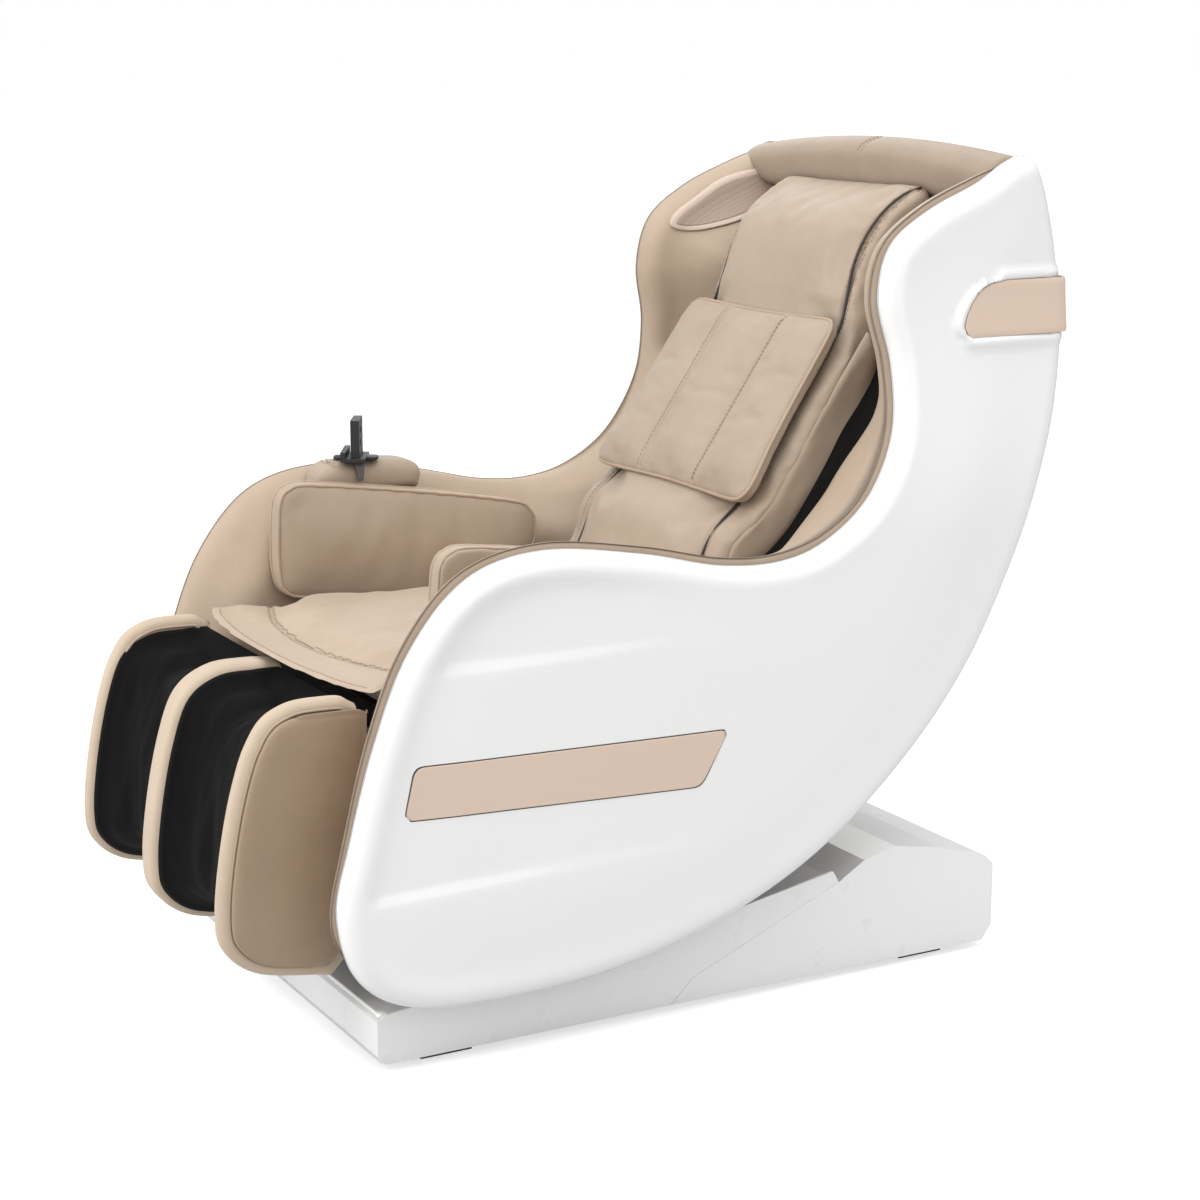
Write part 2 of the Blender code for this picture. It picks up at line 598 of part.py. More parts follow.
def speaker_leaf(side, grow, depth):
    """A leaf-shaped block that faces the sitter's ear from the wing."""
    facing = SPEAKER_FACING
    across = facing.cross(SPEAKER_LONG).normalized()
    along = across.cross(facing).normalized()
    leaf = []
    count = 9
    for half in (1, -1):
        for k in range(count):
            t = -half + 2 * half * k / count
            leaf.append((t * (SPEAKER_LENGTH / 2 + grow),
                         half * (SPEAKER_WIDTH / 2 + grow) * (1 - t * t)))
    rings = []
    for reach in (0.004 + (0.030 if grow else 0.0), 0.004 - depth):
        ring = [SPEAKER_CENTRE + along * a + across * b + facing * reach for a, b in leaf]
        rings.append([(side * p.x, p.y, p.z) for p in ring])
    return loft(rings)




def make_covers():
    ends = SHELL_INNER_X - LEAN_SLACK - HEAD_TAPER
    hood = smooth_closed(HOOD_OUTLINE, 2)
    rings = []
    for k in range(9):
        across = -1 + k / 4
        rings.append([(across * ends, y, z + HOOD_RISE * (1 - across * across)) for y, z in hood])
    add("hood", loft(rings), "leather_beige", "chair", True)

    heights = [BACK_SHELL_TOP + (BACK_SHELL_LOW - BACK_SHELL_TOP) * k / 14 for k in range(15)]
    rings = []
    for side in (1, -1):
        faces = [(heights, 0.010), (list(reversed(heights)), 0.020)]
        rings.append([(side * (SHELL_INNER_X - LEAN_SLACK - taper(z)), rear_y(z) - back, z)
                      for column, back in faces for z in column])
    add("back_shell", loft(rings), "shell_white", "chair", True)
    make_band()
    for side in (1, -1):
        strip = round_corners(ACCENT_STRIP, 0.010)
        outer = SHELL_OUTER_X + GAP
        add(side_name("accent_strip", side), slab(strip, side * outer, side * (outer + 0.0025)),
            "accent_rose", "chair")


def band_path(z, front_y, rear, grow):
    """Plan of the band at one height, from the left end round the back to the right end."""
    side_x = SHELL_OUTER_X - taper(z) + GAP
    path = [(side_x + grow, front_y)]
    for k in range(5):
        turn = k * pi / 8
        path.append((side_x - SHELL_EDGE_DEEP + (SHELL_EDGE_DEEP + grow) * cos(turn),
                     rear - SHELL_EDGE_R + (SHELL_EDGE_R + grow) * sin(turn)))
    return path + [(-x, y) for x, y in reversed(path)]


def make_band():
    """The trim strip that wraps the back from one side to the other."""
    outline = smooth_closed(SHELL_OUTLINE, 3)
    rear = max(y for y, z in outline if BAND_Z[0] - 0.01 < z < BAND_Z[1] + 0.01) + 2 * GAP
    edges = [[(x, y, z) for x, y in band_path(z, front_y, rear, grow)]
             for z, front_y in zip(BAND_Z, BAND_FRONT_Y) for grow in (0.0, BAND_THICK)]
    inner_low, outer_low, inner_high, outer_high = edges
    add("rear_band", loft(list(zip(inner_low, inner_high, outer_high, outer_low))),
        "accent_rose", "chair", True)


# ---- soft parts ---------------------------------------------------------------------------------
def make_pads():
    seat = [(-0.528, 0.4690), (-0.425, 0.4630), (-0.405, 0.4100), (0.020, 0.4100), (0.046, 0.440),
            (0.012, 0.4780), (-0.100, 0.4760), (-0.300, 0.4790), (-0.460, 0.4800), (-0.528, 0.4745)]
    add("seat_pad", slab(seat, -SEAT_HALF, SEAT_HALF), "leather_beige", "chair")
    face = smooth_open(BACK_PAD_FACE, 2)
    rear = inset(face + BACK_PAD_CLOSING, BACK_PAD_THICK)[1:len(face) - 4]
    add("back_pad", slab(face + list(reversed(rear)), -BACK_PAD_HALF, BACK_PAD_HALF),
        "leather_beige", "chair")
    for side in (1, -1):
        pad = [(-0.405, 0.612), (-0.380, 0.629), (-0.200, 0.611), (-0.020, 0.578), (0.000, 0.560),
               (-0.004, 0.515), (-0.066, 0.447), (-0.380, 0.470), (-0.402, 0.490)]
        add(side_name("arm_pad", side), slab(pad, side * ARM_PAD_X[0], side * ARM_PAD_X[1]),
            "leather_beige", "chair")


def make_pillow():
    """The cushion that hangs on the back pad from a hinge along its top front edge."""
    low, high = PILLOW_SPAN
    outline = [(low, -0.0015), (high, -0.0015), (high, -0.020), (high - 0.016, -PILLOW_THICK),
               (low + 0.020, -PILLOW_THICK), (low, -0.020)]
    rings = [[on_back(x, along, depth) for along, depth in outline] for x in (-0.185, 0.185)]
    add("back_pillow", loft(rings), "leather_beige", "pillow")


def make_calf_rest():
    frame = add("calf_frame", box((-0.235, CALF_REAR_Y + GAP, 0.135), (0.235, -0.538, 0.312)),
                "frame_steel", "legrest")
    y, z = LEG_AXIS
    for side in (1, -1):
        ear = [(y - 0.0135, z - 0.03), (y + 0.006, z - 0.03), (y + 0.0135, z - 0.008),
               (y + 0.0135, z + 0.008), (y + 0.007, z + 0.0135), (y - 0.007, z + 0.0135),
               (y - 0.0135, z + 0.008)]
        unite(frame, slab(ear, side * 0.150, side * 0.162))
    lug_y, lug_z = LEG_LUG
    lug = [(-0.545, 0.310), (-0.545, 0.270), (lug_y, lug_z - 0.009), (lug_y + 0.008, lug_z),
           (lug_y, lug_z + 0.009)]
    unite(frame, slab(lug, -0.006, 0.006))
    cut(frame, cross_rod(LEG_AXIS, -0.3, 0.3, LEG_SHAFT_R + GAP))
    outline = smooth_open(CALF_OUTLINE, 2)
    hollow = inset(outline, 0.016)
    hollow = [(min(y, CALF_REAR_Y) if z < 0.375 else y, z) for y, z in hollow]
    half = CALF_DIVIDER / 2
    deep = smooth_open(CALF_OUTLINE[:-2], 2) + CALF_WING_BACK[1:]
    for name, middle in (("left", CALF_HALF - half), ("middle", 0.0), ("right", half - CALF_HALF)):
        divider = add("calf_divider_" + name, slab(deep if middle else outline, middle - half, middle + half),
                      "leather_beige", "legrest", True)
        if middle:
            cut(divider, cross_rod(LEG_AXIS, -0.3, 0.3, LEG_SHAFT_R + GAP))
    for side in (1, -1):
        add(side_name("calf_trough", side),
            slab(hollow, side * (half + GAP), side * (CALF_HALF - CALF_DIVIDER - GAP)),
            "calf_fabric", "legrest", True)


# ---- massage unit ---------------------------------------------------------------------------------
def make_massage_unit():
    s = UNIT_START
    frame = add("massage_frame", back_box(-0.156, 0.156, s - 0.040, s + 0.040, 0.122, 0.128),
                "frame_steel", "massage_unit")
    for side in (1, -1):
        unite(frame, back_box(side * 0.140, side * 0.148, s - 0.020, s + 0.020, 0.084, 0.125))
    cut(frame, back_rod(-0.2, 0.2, s, KNEAD_DEPTH, 0.0085))
    add("knead_motor", back_box(-0.050, 0.050, s - 0.035, s + 0.035, 0.1285, 0.170), "black_plastic",
        "massage_unit")
    shaft = add("knead_shaft", back_rod(-0.153, 0.153, s, KNEAD_DEPTH, 0.0080), "bright_steel", "knead_shaft",
                True)
    for side in (1, -1):
        unite(shaft, back_rod(side * 0.040, side * 0.052, s, KNEAD_DEPTH + 0.003, 0.0150, 18))
        arm = add(side_name("massage_arm", side),
                  back_box(side * 0.075, side * 0.085, s - 0.055, s + 0.055, 0.078, 0.110),
                  "roller_plastic", side_name("massage_arm", side))
        cut(arm, back_rod(side * 0.06, side * 0.10, s, KNEAD_DEPTH, 0.0090))
        for end, along in (("upper", 1), ("lower", -1)):
            place = s + along * ROLLER_SPREAD
            unite(arm, back_rod(side * 0.080, side * 0.112, place, ROLLER_DEPTH, 0.0045, 10))
            name = side_name("roller_" + end, side)
            roller = add("massage_" + name, back_rod(side * 0.0865, side * 0.110, place, ROLLER_DEPTH,
                                                     ROLLER_R, 18), "roller_plastic", name, True)
            cut(roller, back_rod(side * 0.07, side * 0.12, place, ROLLER_DEPTH, 0.0055, 10))


# ---- remote and its holder --------------------------------------------------------------------------


def remote_point(across, out, z):
    """A point on the remote, which is turned to face the sitter."""
    turned = Matrix.Rotation(REMOTE_TURN, 3, "Z") @ Vector((across, out, 0))
    return Vector((HOLDER_POST[0] + turned.x, HOLDER_POST[1] + turned.y, z))


def remote_box(across, out0, out1, z0, z1):
    """A box that is turned with the remote."""
    rings = []
    for z in (z0, z1):
        rings.append([remote_point(a, b, z) for a, b in
                      ((-across, out0), (across, out0), (across, out1), (-across, out1))])
    return loft(rings)


def make_remote():
    low, high = HOUSING_BOX
    add("remote_housing", box(low, high), "leather_beige", "chair")
    plate = add("holder_bracket", remote_box(0.034, -0.014, 0.014, HOLDER_Z, HOLDER_Z + 0.005),
                "black_plastic", "holder")
    cut(plate, remote_box(REMOTE_HALF + 0.0006, -REMOTE_THICK - 0.0006, REMOTE_THICK + 0.0006, 0.60, 0.70))
    unite(plate, remote_box(0.034, -0.020, -0.0125, HOLDER_Z, HOLDER_Z + 0.014))
    slim = remote_box(REMOTE_HALF, -REMOTE_THICK, REMOTE_THICK, HOLDER_Z + 0.0005, REMOTE_TOP)
    remote = add("remote", slim, "black_plastic", "remote")
    for name, z, half in (("remote_power", BUTTON_Z[1], 0.005), ("remote_mode", BUTTON_Z[0], 0.010)):
        cut(remote, remote_box(half + 0.0005, 0.0022, 0.02, z - 0.0045, z + 0.0045))
        add(name + "_button", remote_box(half, 0.0040, REMOTE_THICK + 0.0012, z - 0.004, z + 0.004),
            "roller_plastic", name)


def build():
    clear_scene()
    make_looks()
    make_bodies()
    make_base()
    make_carriage()
    make_drive("recline_motor", "recline_rod", RECLINE_MOTOR_AXIS, RECLINE_LUG,
               "recline_motor", "recline_rod", 0.180)
    make_drive("leg_motor", "leg_rod", LEG_MOTOR_AXIS, LEG_LUG, "legrest_motor", "legrest_rod", 0.045)
    make_frames()
    for side in (1, -1):
        make_shell(side)
        make_liners(side)
    make_covers()
    make_pads()
    make_pillow()
    make_calf_rest()
    make_massage_unit()
    make_remote()
    bodies["base"].location.y = -MIDDLE_Y


build()
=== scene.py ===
"""Looks of the massage chair: soft goods, glossy shells, trim and studio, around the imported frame.

Metres. Shapes are drawn in the chair's own outline frame, where y counts from under the seat; SHIFT
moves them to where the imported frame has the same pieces.
"""
import json
from math import cos, pi, radians, sin

import bmesh
import bpy
import numpy as np
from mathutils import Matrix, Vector, noise
from mathutils.bvhtree import BVHTree
from mathutils.geometry import delaunay_2d_cdt


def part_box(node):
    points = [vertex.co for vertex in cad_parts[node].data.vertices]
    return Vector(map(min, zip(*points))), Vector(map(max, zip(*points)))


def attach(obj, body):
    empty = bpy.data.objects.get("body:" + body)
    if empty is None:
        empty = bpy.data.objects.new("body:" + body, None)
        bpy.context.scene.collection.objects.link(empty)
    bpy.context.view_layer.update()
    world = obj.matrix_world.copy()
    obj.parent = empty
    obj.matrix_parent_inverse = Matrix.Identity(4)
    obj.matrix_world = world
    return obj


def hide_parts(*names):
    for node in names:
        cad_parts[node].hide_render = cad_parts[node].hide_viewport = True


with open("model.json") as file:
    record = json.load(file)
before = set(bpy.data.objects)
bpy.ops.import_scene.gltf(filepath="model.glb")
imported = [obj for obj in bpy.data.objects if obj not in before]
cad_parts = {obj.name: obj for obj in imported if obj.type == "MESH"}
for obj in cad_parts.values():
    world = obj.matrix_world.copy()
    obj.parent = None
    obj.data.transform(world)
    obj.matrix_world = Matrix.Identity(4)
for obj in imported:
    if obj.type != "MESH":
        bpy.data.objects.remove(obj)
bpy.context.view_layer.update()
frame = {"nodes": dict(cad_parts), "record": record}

SHELL_EDGE = [
    (-0.574, 0.225), (-0.556, 0.310), (-0.522, 0.427), (-0.476, 0.532), (-0.402, 0.611),
    (-0.300, 0.636), (-0.164, 0.619), (-0.050, 0.593), (0.040, 0.590), (0.108, 0.611),
    (0.172, 0.661), (0.213, 0.738), (0.218, 0.823), (0.203, 0.904), (0.221, 0.972),
    (0.279, 1.015), (0.353, 1.047), (0.400, 1.074), (0.432, 1.080), (0.454, 1.058),
    (0.475, 0.992), (0.489, 0.917), (0.491, 0.853), (0.472, 0.755), (0.440, 0.662),
    (0.393, 0.545), (0.326, 0.420), (0.234, 0.310), (0.110, 0.207), (-0.030, 0.138),
    (-0.200, 0.094), (-0.370, 0.084), (-0.485, 0.097), (-0.550, 0.143)]
CREST = [
    (-0.546, 0.158), (-0.567, 0.176), (-0.580, 0.225), (-0.562, 0.310), (-0.530, 0.429),
    (-0.484, 0.537), (-0.409, 0.618), (-0.301, 0.644), (-0.163, 0.627), (-0.050, 0.602),
    (0.032, 0.599), (0.102, 0.618), (0.163, 0.663), (0.203, 0.740), (0.207, 0.823),
    (0.192, 0.904), (0.211, 0.974), (0.272, 1.021), (0.347, 1.053), (0.392, 1.068)]
LINER_REAR = [
    (0.425, 1.030), (0.442, 0.950), (0.442, 0.850), (0.428, 0.755), (0.392, 0.660), (0.342, 0.550),
    (0.270, 0.450), (0.200, 0.385), (0.050, 0.360), (-0.300, 0.350), (-0.470, 0.330),
    (-0.520, 0.270), (-0.532, 0.200)]
SHELL_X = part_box("side_shell_left")[1].x
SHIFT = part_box("side_shell_left")[0].y - min(y for y, z in SHELL_EDGE)
SHELL_IN = 0.338
SHELL_ROUND = 0.026
TAPER = 0.040
TAPER_Z = (0.60, 0.95)
SIDES = (("left", 1), ("right", -1))


# ---- small mathematics ------------------------------------------------------------------
def ease(t):
    t = np.clip(t, 0.0, 1.0)
    return t * t * (3 - 2 * t)


def roll(t):
    """Quarter circle from 0 to 1."""
    t = np.clip(t, 0.0, 1.0)
    return np.sqrt(1 - (1 - t) ** 2)


def fade(x, start, width):
    """1 up to start, easing to 0 over the width after it."""
    return 1 - ease((x - start) / width)


def brink(depth, width):
    """1 on an edge, rounding off to 0 at the width inside it."""
    return 1 - roll(depth / width)


def taper(z):
    """How far the shells lean inwards at a height."""
    return TAPER * ease((np.asarray(z) - TAPER_Z[0]) / (TAPER_Z[1] - TAPER_Z[0]))


def curve(points, steps, closed=False):
    """Points on a smooth curve through the given ones."""
    p = np.array(points, float)
    n = len(p)
    out = []
    for i in range(n if closed else n - 1):
        if closed:
            a, b, c, d = p[i - 1], p[i], p[(i + 1) % n], p[(i + 2) % n]
        else:
            a, b, c, d = p[max(i - 1, 0)], p[i], p[i + 1], p[min(i + 2, n - 1)]
        for k in range(steps):
            t = k / steps
            out.append(b + 0.5 * t * (c - a + t * (2 * a - 5 * b + 4 * c - d + t * (3 * (b - c) + d - a))))
    if not closed:
        out.append(p[-1])
    return np.array(out)


def resample(path, step, closed=False):
    """The same path with even spacing."""
    p = np.array(path, float)
    if closed:
        p = np.vstack([p, p[:1]])
    lengths = np.r_[0, np.cumsum(np.linalg.norm(np.diff(p, axis=0), axis=1))]
    count = max(int(round(lengths[-1] / step)), 3)
    at = np.linspace(0, lengths[-1], count + 1)
    if closed:
        at = at[:-1]
    return np.stack([np.interp(at, lengths, p[:, k]) for k in range(p.shape[1])], axis=1)


def distance(points, path, closed=False):
    """Distance from each point to a path."""
    points = np.asarray(points, float)
    path = np.asarray(path, float)
    ends = np.roll(path, -1, axis=0) if closed else path[1:]
    starts = path if closed else path[:-1]
    best = np.full(len(points), 1e9)
    for a, b in zip(starts, ends):
        ab = b - a
        t = np.clip(((points - a) @ ab) / max(ab @ ab, 1e-12), 0, 1)
        best = np.minimum(best, np.linalg.norm(points - a - t[:, None] * ab, axis=1))
    return best


def inside(points, polygon):
    x, y = points[:, 0], points[:, 1]
    hit = np.zeros(len(points), bool)
    for (x0, y0), (x1, y1) in zip(polygon, np.roll(polygon, -1, axis=0)):
        cross = (y0 > y) != (y1 > y)
        if y1 != y0:
            hit ^= cross & (x < (x1 - x0) * (y - y0) / (y1 - y0) + x0)
    return hit


def normals(path, closed=False):
    """Unit vectors to the right of a path's direction."""
    path = np.asarray(path, float)
    if closed:
        along = np.roll(path, -1, axis=0) - np.roll(path, 1, axis=0)
    else:
        along = np.gradient(path, axis=0)
    along /= np.maximum(np.linalg.norm(along, axis=1), 1e-9)[:, None]
    return np.stack([along[:, 1], -along[:, 0]], axis=1)


def inset(path, step):
    """A closed path moved inwards."""
    n = normals(path, True)
    area = np.sum(path[:, 0] * np.roll(path[:, 1], -1) - np.roll(path[:, 0], -1) * path[:, 1])
    return path - n * step * (1 if area > 0 else -1)


def mirrored(half, start):
    """A closed outline from its right half, beginning this many points before the half's first."""
    full = half + [(-x, y) for x, y in reversed(half[1:-1])]
    return full[-start:] + full[:-start]


def upright(x, path):
    """A path drawn in y and z, stood up at one x."""
    return np.column_stack([np.full(len(path), x), path])


def rounded(points, radius, steps=5):
    """A closed polygon with rounded corners."""
    p = [Vector(q) for q in points]
    out = []
    for i, corner in enumerate(p):
        before = p[i - 1] - corner
        after = p[(i + 1) % len(p)] - corner
        reach = min(radius, before.length * 0.45, after.length * 0.45)
        before.normalize()
        after.normalize()
        for k in range(steps + 1):
            t = k / steps
            out.append(tuple(corner + reach * ((1 - t) ** 2 * before + t ** 2 * after)))
    return np.array(out)


def wobble(points, scale, seed):
    """Smooth noise in about -1..1 at each 3-D point; scale is its wavelength."""
    off = Vector((seed * 7.31, seed * 3.17, seed * 1.93))
    s = 1.0 / scale
    return np.array([noise.noise(Vector(p) * s + off) for p in points])


# ---- mesh tools ---------------------------------------------------------------------------
def piece(name, form, look, body="chair", replaces=(), angle=None):
    """A mesh, given as (verts, faces), as one piece of the chair that rides on a body."""
    verts = np.array(form[0], float)
    verts[:, 1] += SHIFT
    mesh = bpy.data.meshes.new(name)
    mesh.from_pydata([tuple(v) for v in verts], [], [tuple(int(i) for i in f) for f in form[1]])
    work = bmesh.new()
    work.from_mesh(mesh)
    bmesh.ops.remove_doubles(work, verts=work.verts, dist=1e-6)
    bmesh.ops.recalc_face_normals(work, faces=work.faces)
    work.to_mesh(mesh)
    work.free()
    mesh.shade_smooth()
    if angle:
        mesh.set_sharp_from_angle(angle=radians(angle))
    mesh.materials.append(M[look])
    obj = bpy.data.objects.new(name, mesh)
    bpy.context.scene.collection.objects.link(obj)
    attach(obj, body)
    if replaces:
        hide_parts(*replaces)
    return obj


def level(u, v, h):
    """Places a plate's points flat, with its skins above and below."""
    return np.stack([u, v, h], axis=1)


def flank(side):
    """Places a plate's points upright in y and z, with its skins to the left (1) or the right (-1)."""
    return lambda u, v, h: np.stack([side * h, u, v], axis=1)


def plate(outline, front, back, place, radius, cell, lines=()):
    """A closed body over a flat outline, as (verts, faces): front and back skins share one net."""
    edge = resample(outline, cell * 0.7, True)
    net = [edge]
    for k in range(1, 8):
        reach = radius * (1 - cos(min(k, 6) * pi / 12)) * (1.0 if k < 7 else 1.25)
        ring = inset(edge, reach)
        keep = inside(ring, edge) & (distance(ring, edge, True) > 0.96 * reach)
        net.append(ring[keep])
    grid_x = np.arange(edge[:, 0].min(), edge[:, 0].max(), cell)
    grid_y = np.arange(edge[:, 1].min(), edge[:, 1].max(), cell)
    grid = np.stack(np.meshgrid(grid_x, grid_y), axis=-1).reshape(-1, 2)
    grid = grid[inside(grid, edge)]
    grid = grid[distance(grid, edge, True) > 1.45 * radius]
    for line in lines:
        line = resample(line, cell * 0.6)
        line = line[inside(line, edge)]
        line = line[distance(line, edge, True) > 1.35 * radius]
        if len(line) > 1:
            grid = grid[distance(grid, line) > 0.45 * cell]
            net.append(line)
    net.append(grid)
    flat = np.vstack(net)
    count = len(edge)
    result = delaunay_2d_cdt([Vector(p) for p in flat], [], [list(range(count))], 1, 1e-7)
    points = np.array([tuple(v) for v in result[0]])
    triangles = [tuple(t) for t in result[2]]
    origin = {}
    for new, olds in enumerate(result[3]):
        for old in olds:
            origin[old] = new
    rim = [origin[i] for i in range(count)]
    depth = distance(points, edge, True)
    depth[rim] = 0.0
    top = place(points[:, 0], points[:, 1], front(points, depth))
    bottom = place(points[:, 0], points[:, 1], back(points, depth))
    size = len(points)
    verts = np.vstack([top, bottom])
    faces = triangles + [tuple(size + i for i in reversed(t)) for t in triangles]
    for i in range(count):
        j = (i + 1) % count
        faces.append((rim[i], rim[j], size + rim[j], size + rim[i]))
    return verts, faces


def loft(rings):
    """Faces through rings of points; the end rings are closed with fans."""
    rings = [np.asarray(r, float) for r in rings]
    n = len(rings[0])
    verts = np.vstack(rings)
    faces = []
    for r in range(len(rings) - 1):
        for i in range(n):
            j = (i + 1) % n
            faces.append((r * n + i, r * n + j, (r + 1) * n + j, (r + 1) * n + i))
    for r in (0, len(rings) - 1):
        verts = np.vstack([verts, rings[r].mean(axis=0)])
        middle = len(verts) - 1
        for i in range(n):
            faces.append((r * n + i, r * n + (i + 1) % n, middle))
    return verts, faces


def tube(path, radius, closed=False, sides=8):
    """A round cord along a 3-D path, as (verts, faces)."""
    path = np.asarray(path, float)
    if closed:
        along = np.roll(path, -1, axis=0) - np.roll(path, 1, axis=0)
    else:
        along = np.gradient(path, axis=0)
    along /= np.maximum(np.linalg.norm(along, axis=1), 1e-9)[:, None]
    up = np.array([0.31, 0.17, 0.93])
    rings = []
    for p, d in zip(path, along):
        up = up - d * (up @ d)
        up /= np.linalg.norm(up)
        side = np.cross(d, up)
        turn = 2 * pi * np.arange(sides) / sides
        rings.append(p + radius * (np.outer(np.cos(turn), up) + np.outer(np.sin(turn), side)))
    if not closed:
        return loft(rings)
    verts = np.vstack(rings)
    faces = []
    count = len(rings)
    last, first = rings[-1], rings[0]
    start = int(np.argmin(np.linalg.norm(first - last[0], axis=1)))
    for r in range(count):
        nxt = (r + 1) % count
        slip = start if nxt == 0 else 0
        for i in range(sides):
            j = (i + 1) % sides
            faces.append((r * sides + i, r * sides + j, nxt * sides + (j + slip) % sides,
                          nxt * sides + (i + slip) % sides))
    return verts, faces


def merge(parts):
    """Several (verts, faces) as one."""
    verts, faces, size = [], [], 0
    for v, f in parts:
        verts.append(np.asarray(v, float))
        faces += [tuple(i + size for i in face) for face in f]
        size += len(v)
    return np.vstack(verts), faces


def skin(obj):
    """A search tree on a piece's surface, in the frame."""
    mesh = obj.data
    return BVHTree.FromPolygons([v.co for v in mesh.vertices], [tuple(p.vertices) for p in mesh.polygons])


def lay(tree, path, lift=0.0):
    """A path laid on a surface: points and normals. The path has the outline frame's y."""
    points, directions = [], []
    for p in path:
        spot, normal, _, _ = tree.find_nearest(Vector((p[0], p[1] + SHIFT, p[2])))
        points.append(np.array(spot + normal * lift))
        directions.append(np.array(normal))
    points = np.array(points)
    points[:, 1] -= SHIFT
    return points, np.array(directions)


def soften(path, times):
    """Evens out an open path between its ends."""
    path = np.array(path, float)
    for _ in range(times):
        path[1:-1] = 0.25 * path[:-2] + 0.5 * path[1:-1] + 0.25 * path[2:]
    return path


def groove(obj, path, deep, wide, ridge=0.0):
    """Presses a sewn seam into a surface along a path, with a slight swell beside it."""
    mesh = obj.data
    co = coordinates(mesh)
    no = np.zeros(len(co) * 3)
    mesh.vertex_normals.foreach_get("vector", no)
    no = no.reshape(-1, 3)
    line = np.asarray(path, float).copy()
    line[:, 1] += SHIFT
    low, high = line.min(axis=0) - 4 * wide, line.max(axis=0) + 4 * wide
    near = np.all((co > low) & (co < high), axis=1)
    away = distance(co[near], line)
    move = -deep * np.exp(-(away / wide) ** 2) + ridge * np.exp(-((away - 2.2 * wide) / wide) ** 2)
    co[near] += no[near] * move[:, None]
    mesh.vertices.foreach_set("co", co.ravel())
    mesh.update()


STITCH_LENGTH = 0.0042
STITCH_PITCH = 0.0062
THREAD = 0.00055


def stitches(path, normal):
    """A row of thread stitches along a path, as (verts, faces)."""
    path = np.asarray(path, float)
    lengths = np.r_[0, np.cumsum(np.linalg.norm(np.diff(path, axis=0), axis=1))]
    parts = []
    at = STITCH_PITCH * 0.5
    while at + STITCH_LENGTH < lengths[-1]:
        marks = np.array([at, at + STITCH_LENGTH * 0.5, at + STITCH_LENGTH])
        points = np.stack([np.interp(marks, lengths, path[:, k]) for k in range(3)], axis=1)
        up = np.stack([np.interp(marks, lengths, normal[:, k]) for k in range(3)], axis=1)
        points = points + up * np.array([[0.0001], [0.0006], [0.0001]])
        parts.append(tube(points, THREAD, sides=5))
        at += STITCH_PITCH
    return merge(parts) if parts else (np.zeros((0, 3)), [])


def calm(mesh, field, times):
    """Evens out a field of vectors on a mesh, so that only the broad folds stay."""
    pairs = np.zeros(len(mesh.edges) * 2, np.int64)
    mesh.edges.foreach_get("vertices", pairs)
    a, b = pairs.reshape(-1, 2).T
    size = len(mesh.vertices)
    count = np.bincount(a, minlength=size) + np.bincount(b, minlength=size)
    for _ in range(times):
        total = [np.bincount(a, field[b, k], size) + np.bincount(b, field[a, k], size) for k in range(3)]
        field = 0.5 * field + 0.5 * np.stack(total, axis=1) / np.maximum(count, 1)[:, None]
    return field


CLOTH_FRAMES = 20


def puff(obj, hold, pressure, voxel, cap, slack, bend, even, limit=None):
    """Cloth pressure fills a pad. hold gives how firmly each point is sewn down (0 to 1), cap the
    farthest that a point moves, and even how many times the movement is evened out."""
    scene = bpy.context.scene
    remesh = obj.modifiers.new("remesh", "REMESH")
    remesh.mode = "VOXEL"
    remesh.voxel_size = voxel
    remesh.use_smooth_shade = True
    bake(obj)
    mesh = obj.data
    start = coordinates(mesh)
    flat = start.copy()
    flat[:, 1] -= SHIFT
    weights = np.clip(hold(flat), 0, 1)
    group = obj.vertex_groups.new(name="sewn")
    group.add([int(i) for i in np.nonzero(weights > 0.6)[0]], 1.0, "REPLACE")
    cloth = obj.modifiers.new("cloth", "CLOTH")
    settings = cloth.settings
    settings.quality = 4
    settings.mass = 0.2
    settings.tension_stiffness = 12
    settings.compression_stiffness = 12
    settings.shear_stiffness = 6
    settings.bending_stiffness = bend
    settings.use_pressure = True
    settings.uniform_pressure_force = pressure
    settings.shrink_min = -slack
    settings.effector_weights.gravity = 0.0
    settings.vertex_group_mass = "sewn"
    cloth.point_cache.frame_start = 1
    cloth.point_cache.frame_end = CLOTH_FRAMES
    for number in range(1, CLOTH_FRAMES + 1):
        scene.frame_set(number)
    bake(obj)
    obj.vertex_groups.clear()
    scene.frame_set(1)
    moved = coordinates(obj.data)
    step = moved - start
    reach = np.linalg.norm(step, axis=1)
    step *= np.minimum(1.0, cap / np.maximum(reach, 1e-9))[:, None]
    step = calm(obj.data, step, even) * (1 - weights)[:, None]
    moved = start + step
    if limit:
        moved[:, 1] -= SHIFT
        moved = limit(moved)
        moved[:, 1] += SHIFT
    obj.data.vertices.foreach_set("co", moved.ravel())
    fine = obj.modifiers.new("fine", "SUBSURF")
    fine.levels = fine.render_levels = 1
    bake(obj)
    obj.data.shade_smooth()


def coordinates(mesh):
    co = np.zeros(len(mesh.vertices) * 3)
    mesh.vertices.foreach_get("co", co)
    return co.reshape(-1, 3)


def bake(obj):
    """Applies an object's modifiers to its mesh."""
    graph = bpy.context.evaluated_depsgraph_get()
    graph.update()
    result = bpy.data.meshes.new_from_object(obj.evaluated_get(graph))
    obj.modifiers.clear()
    old = obj.data
    material = old.materials[0]
    obj.data = result
    if not result.materials:
        result.materials.append(material)
    result.name = obj.name
    bpy.data.meshes.remove(old)


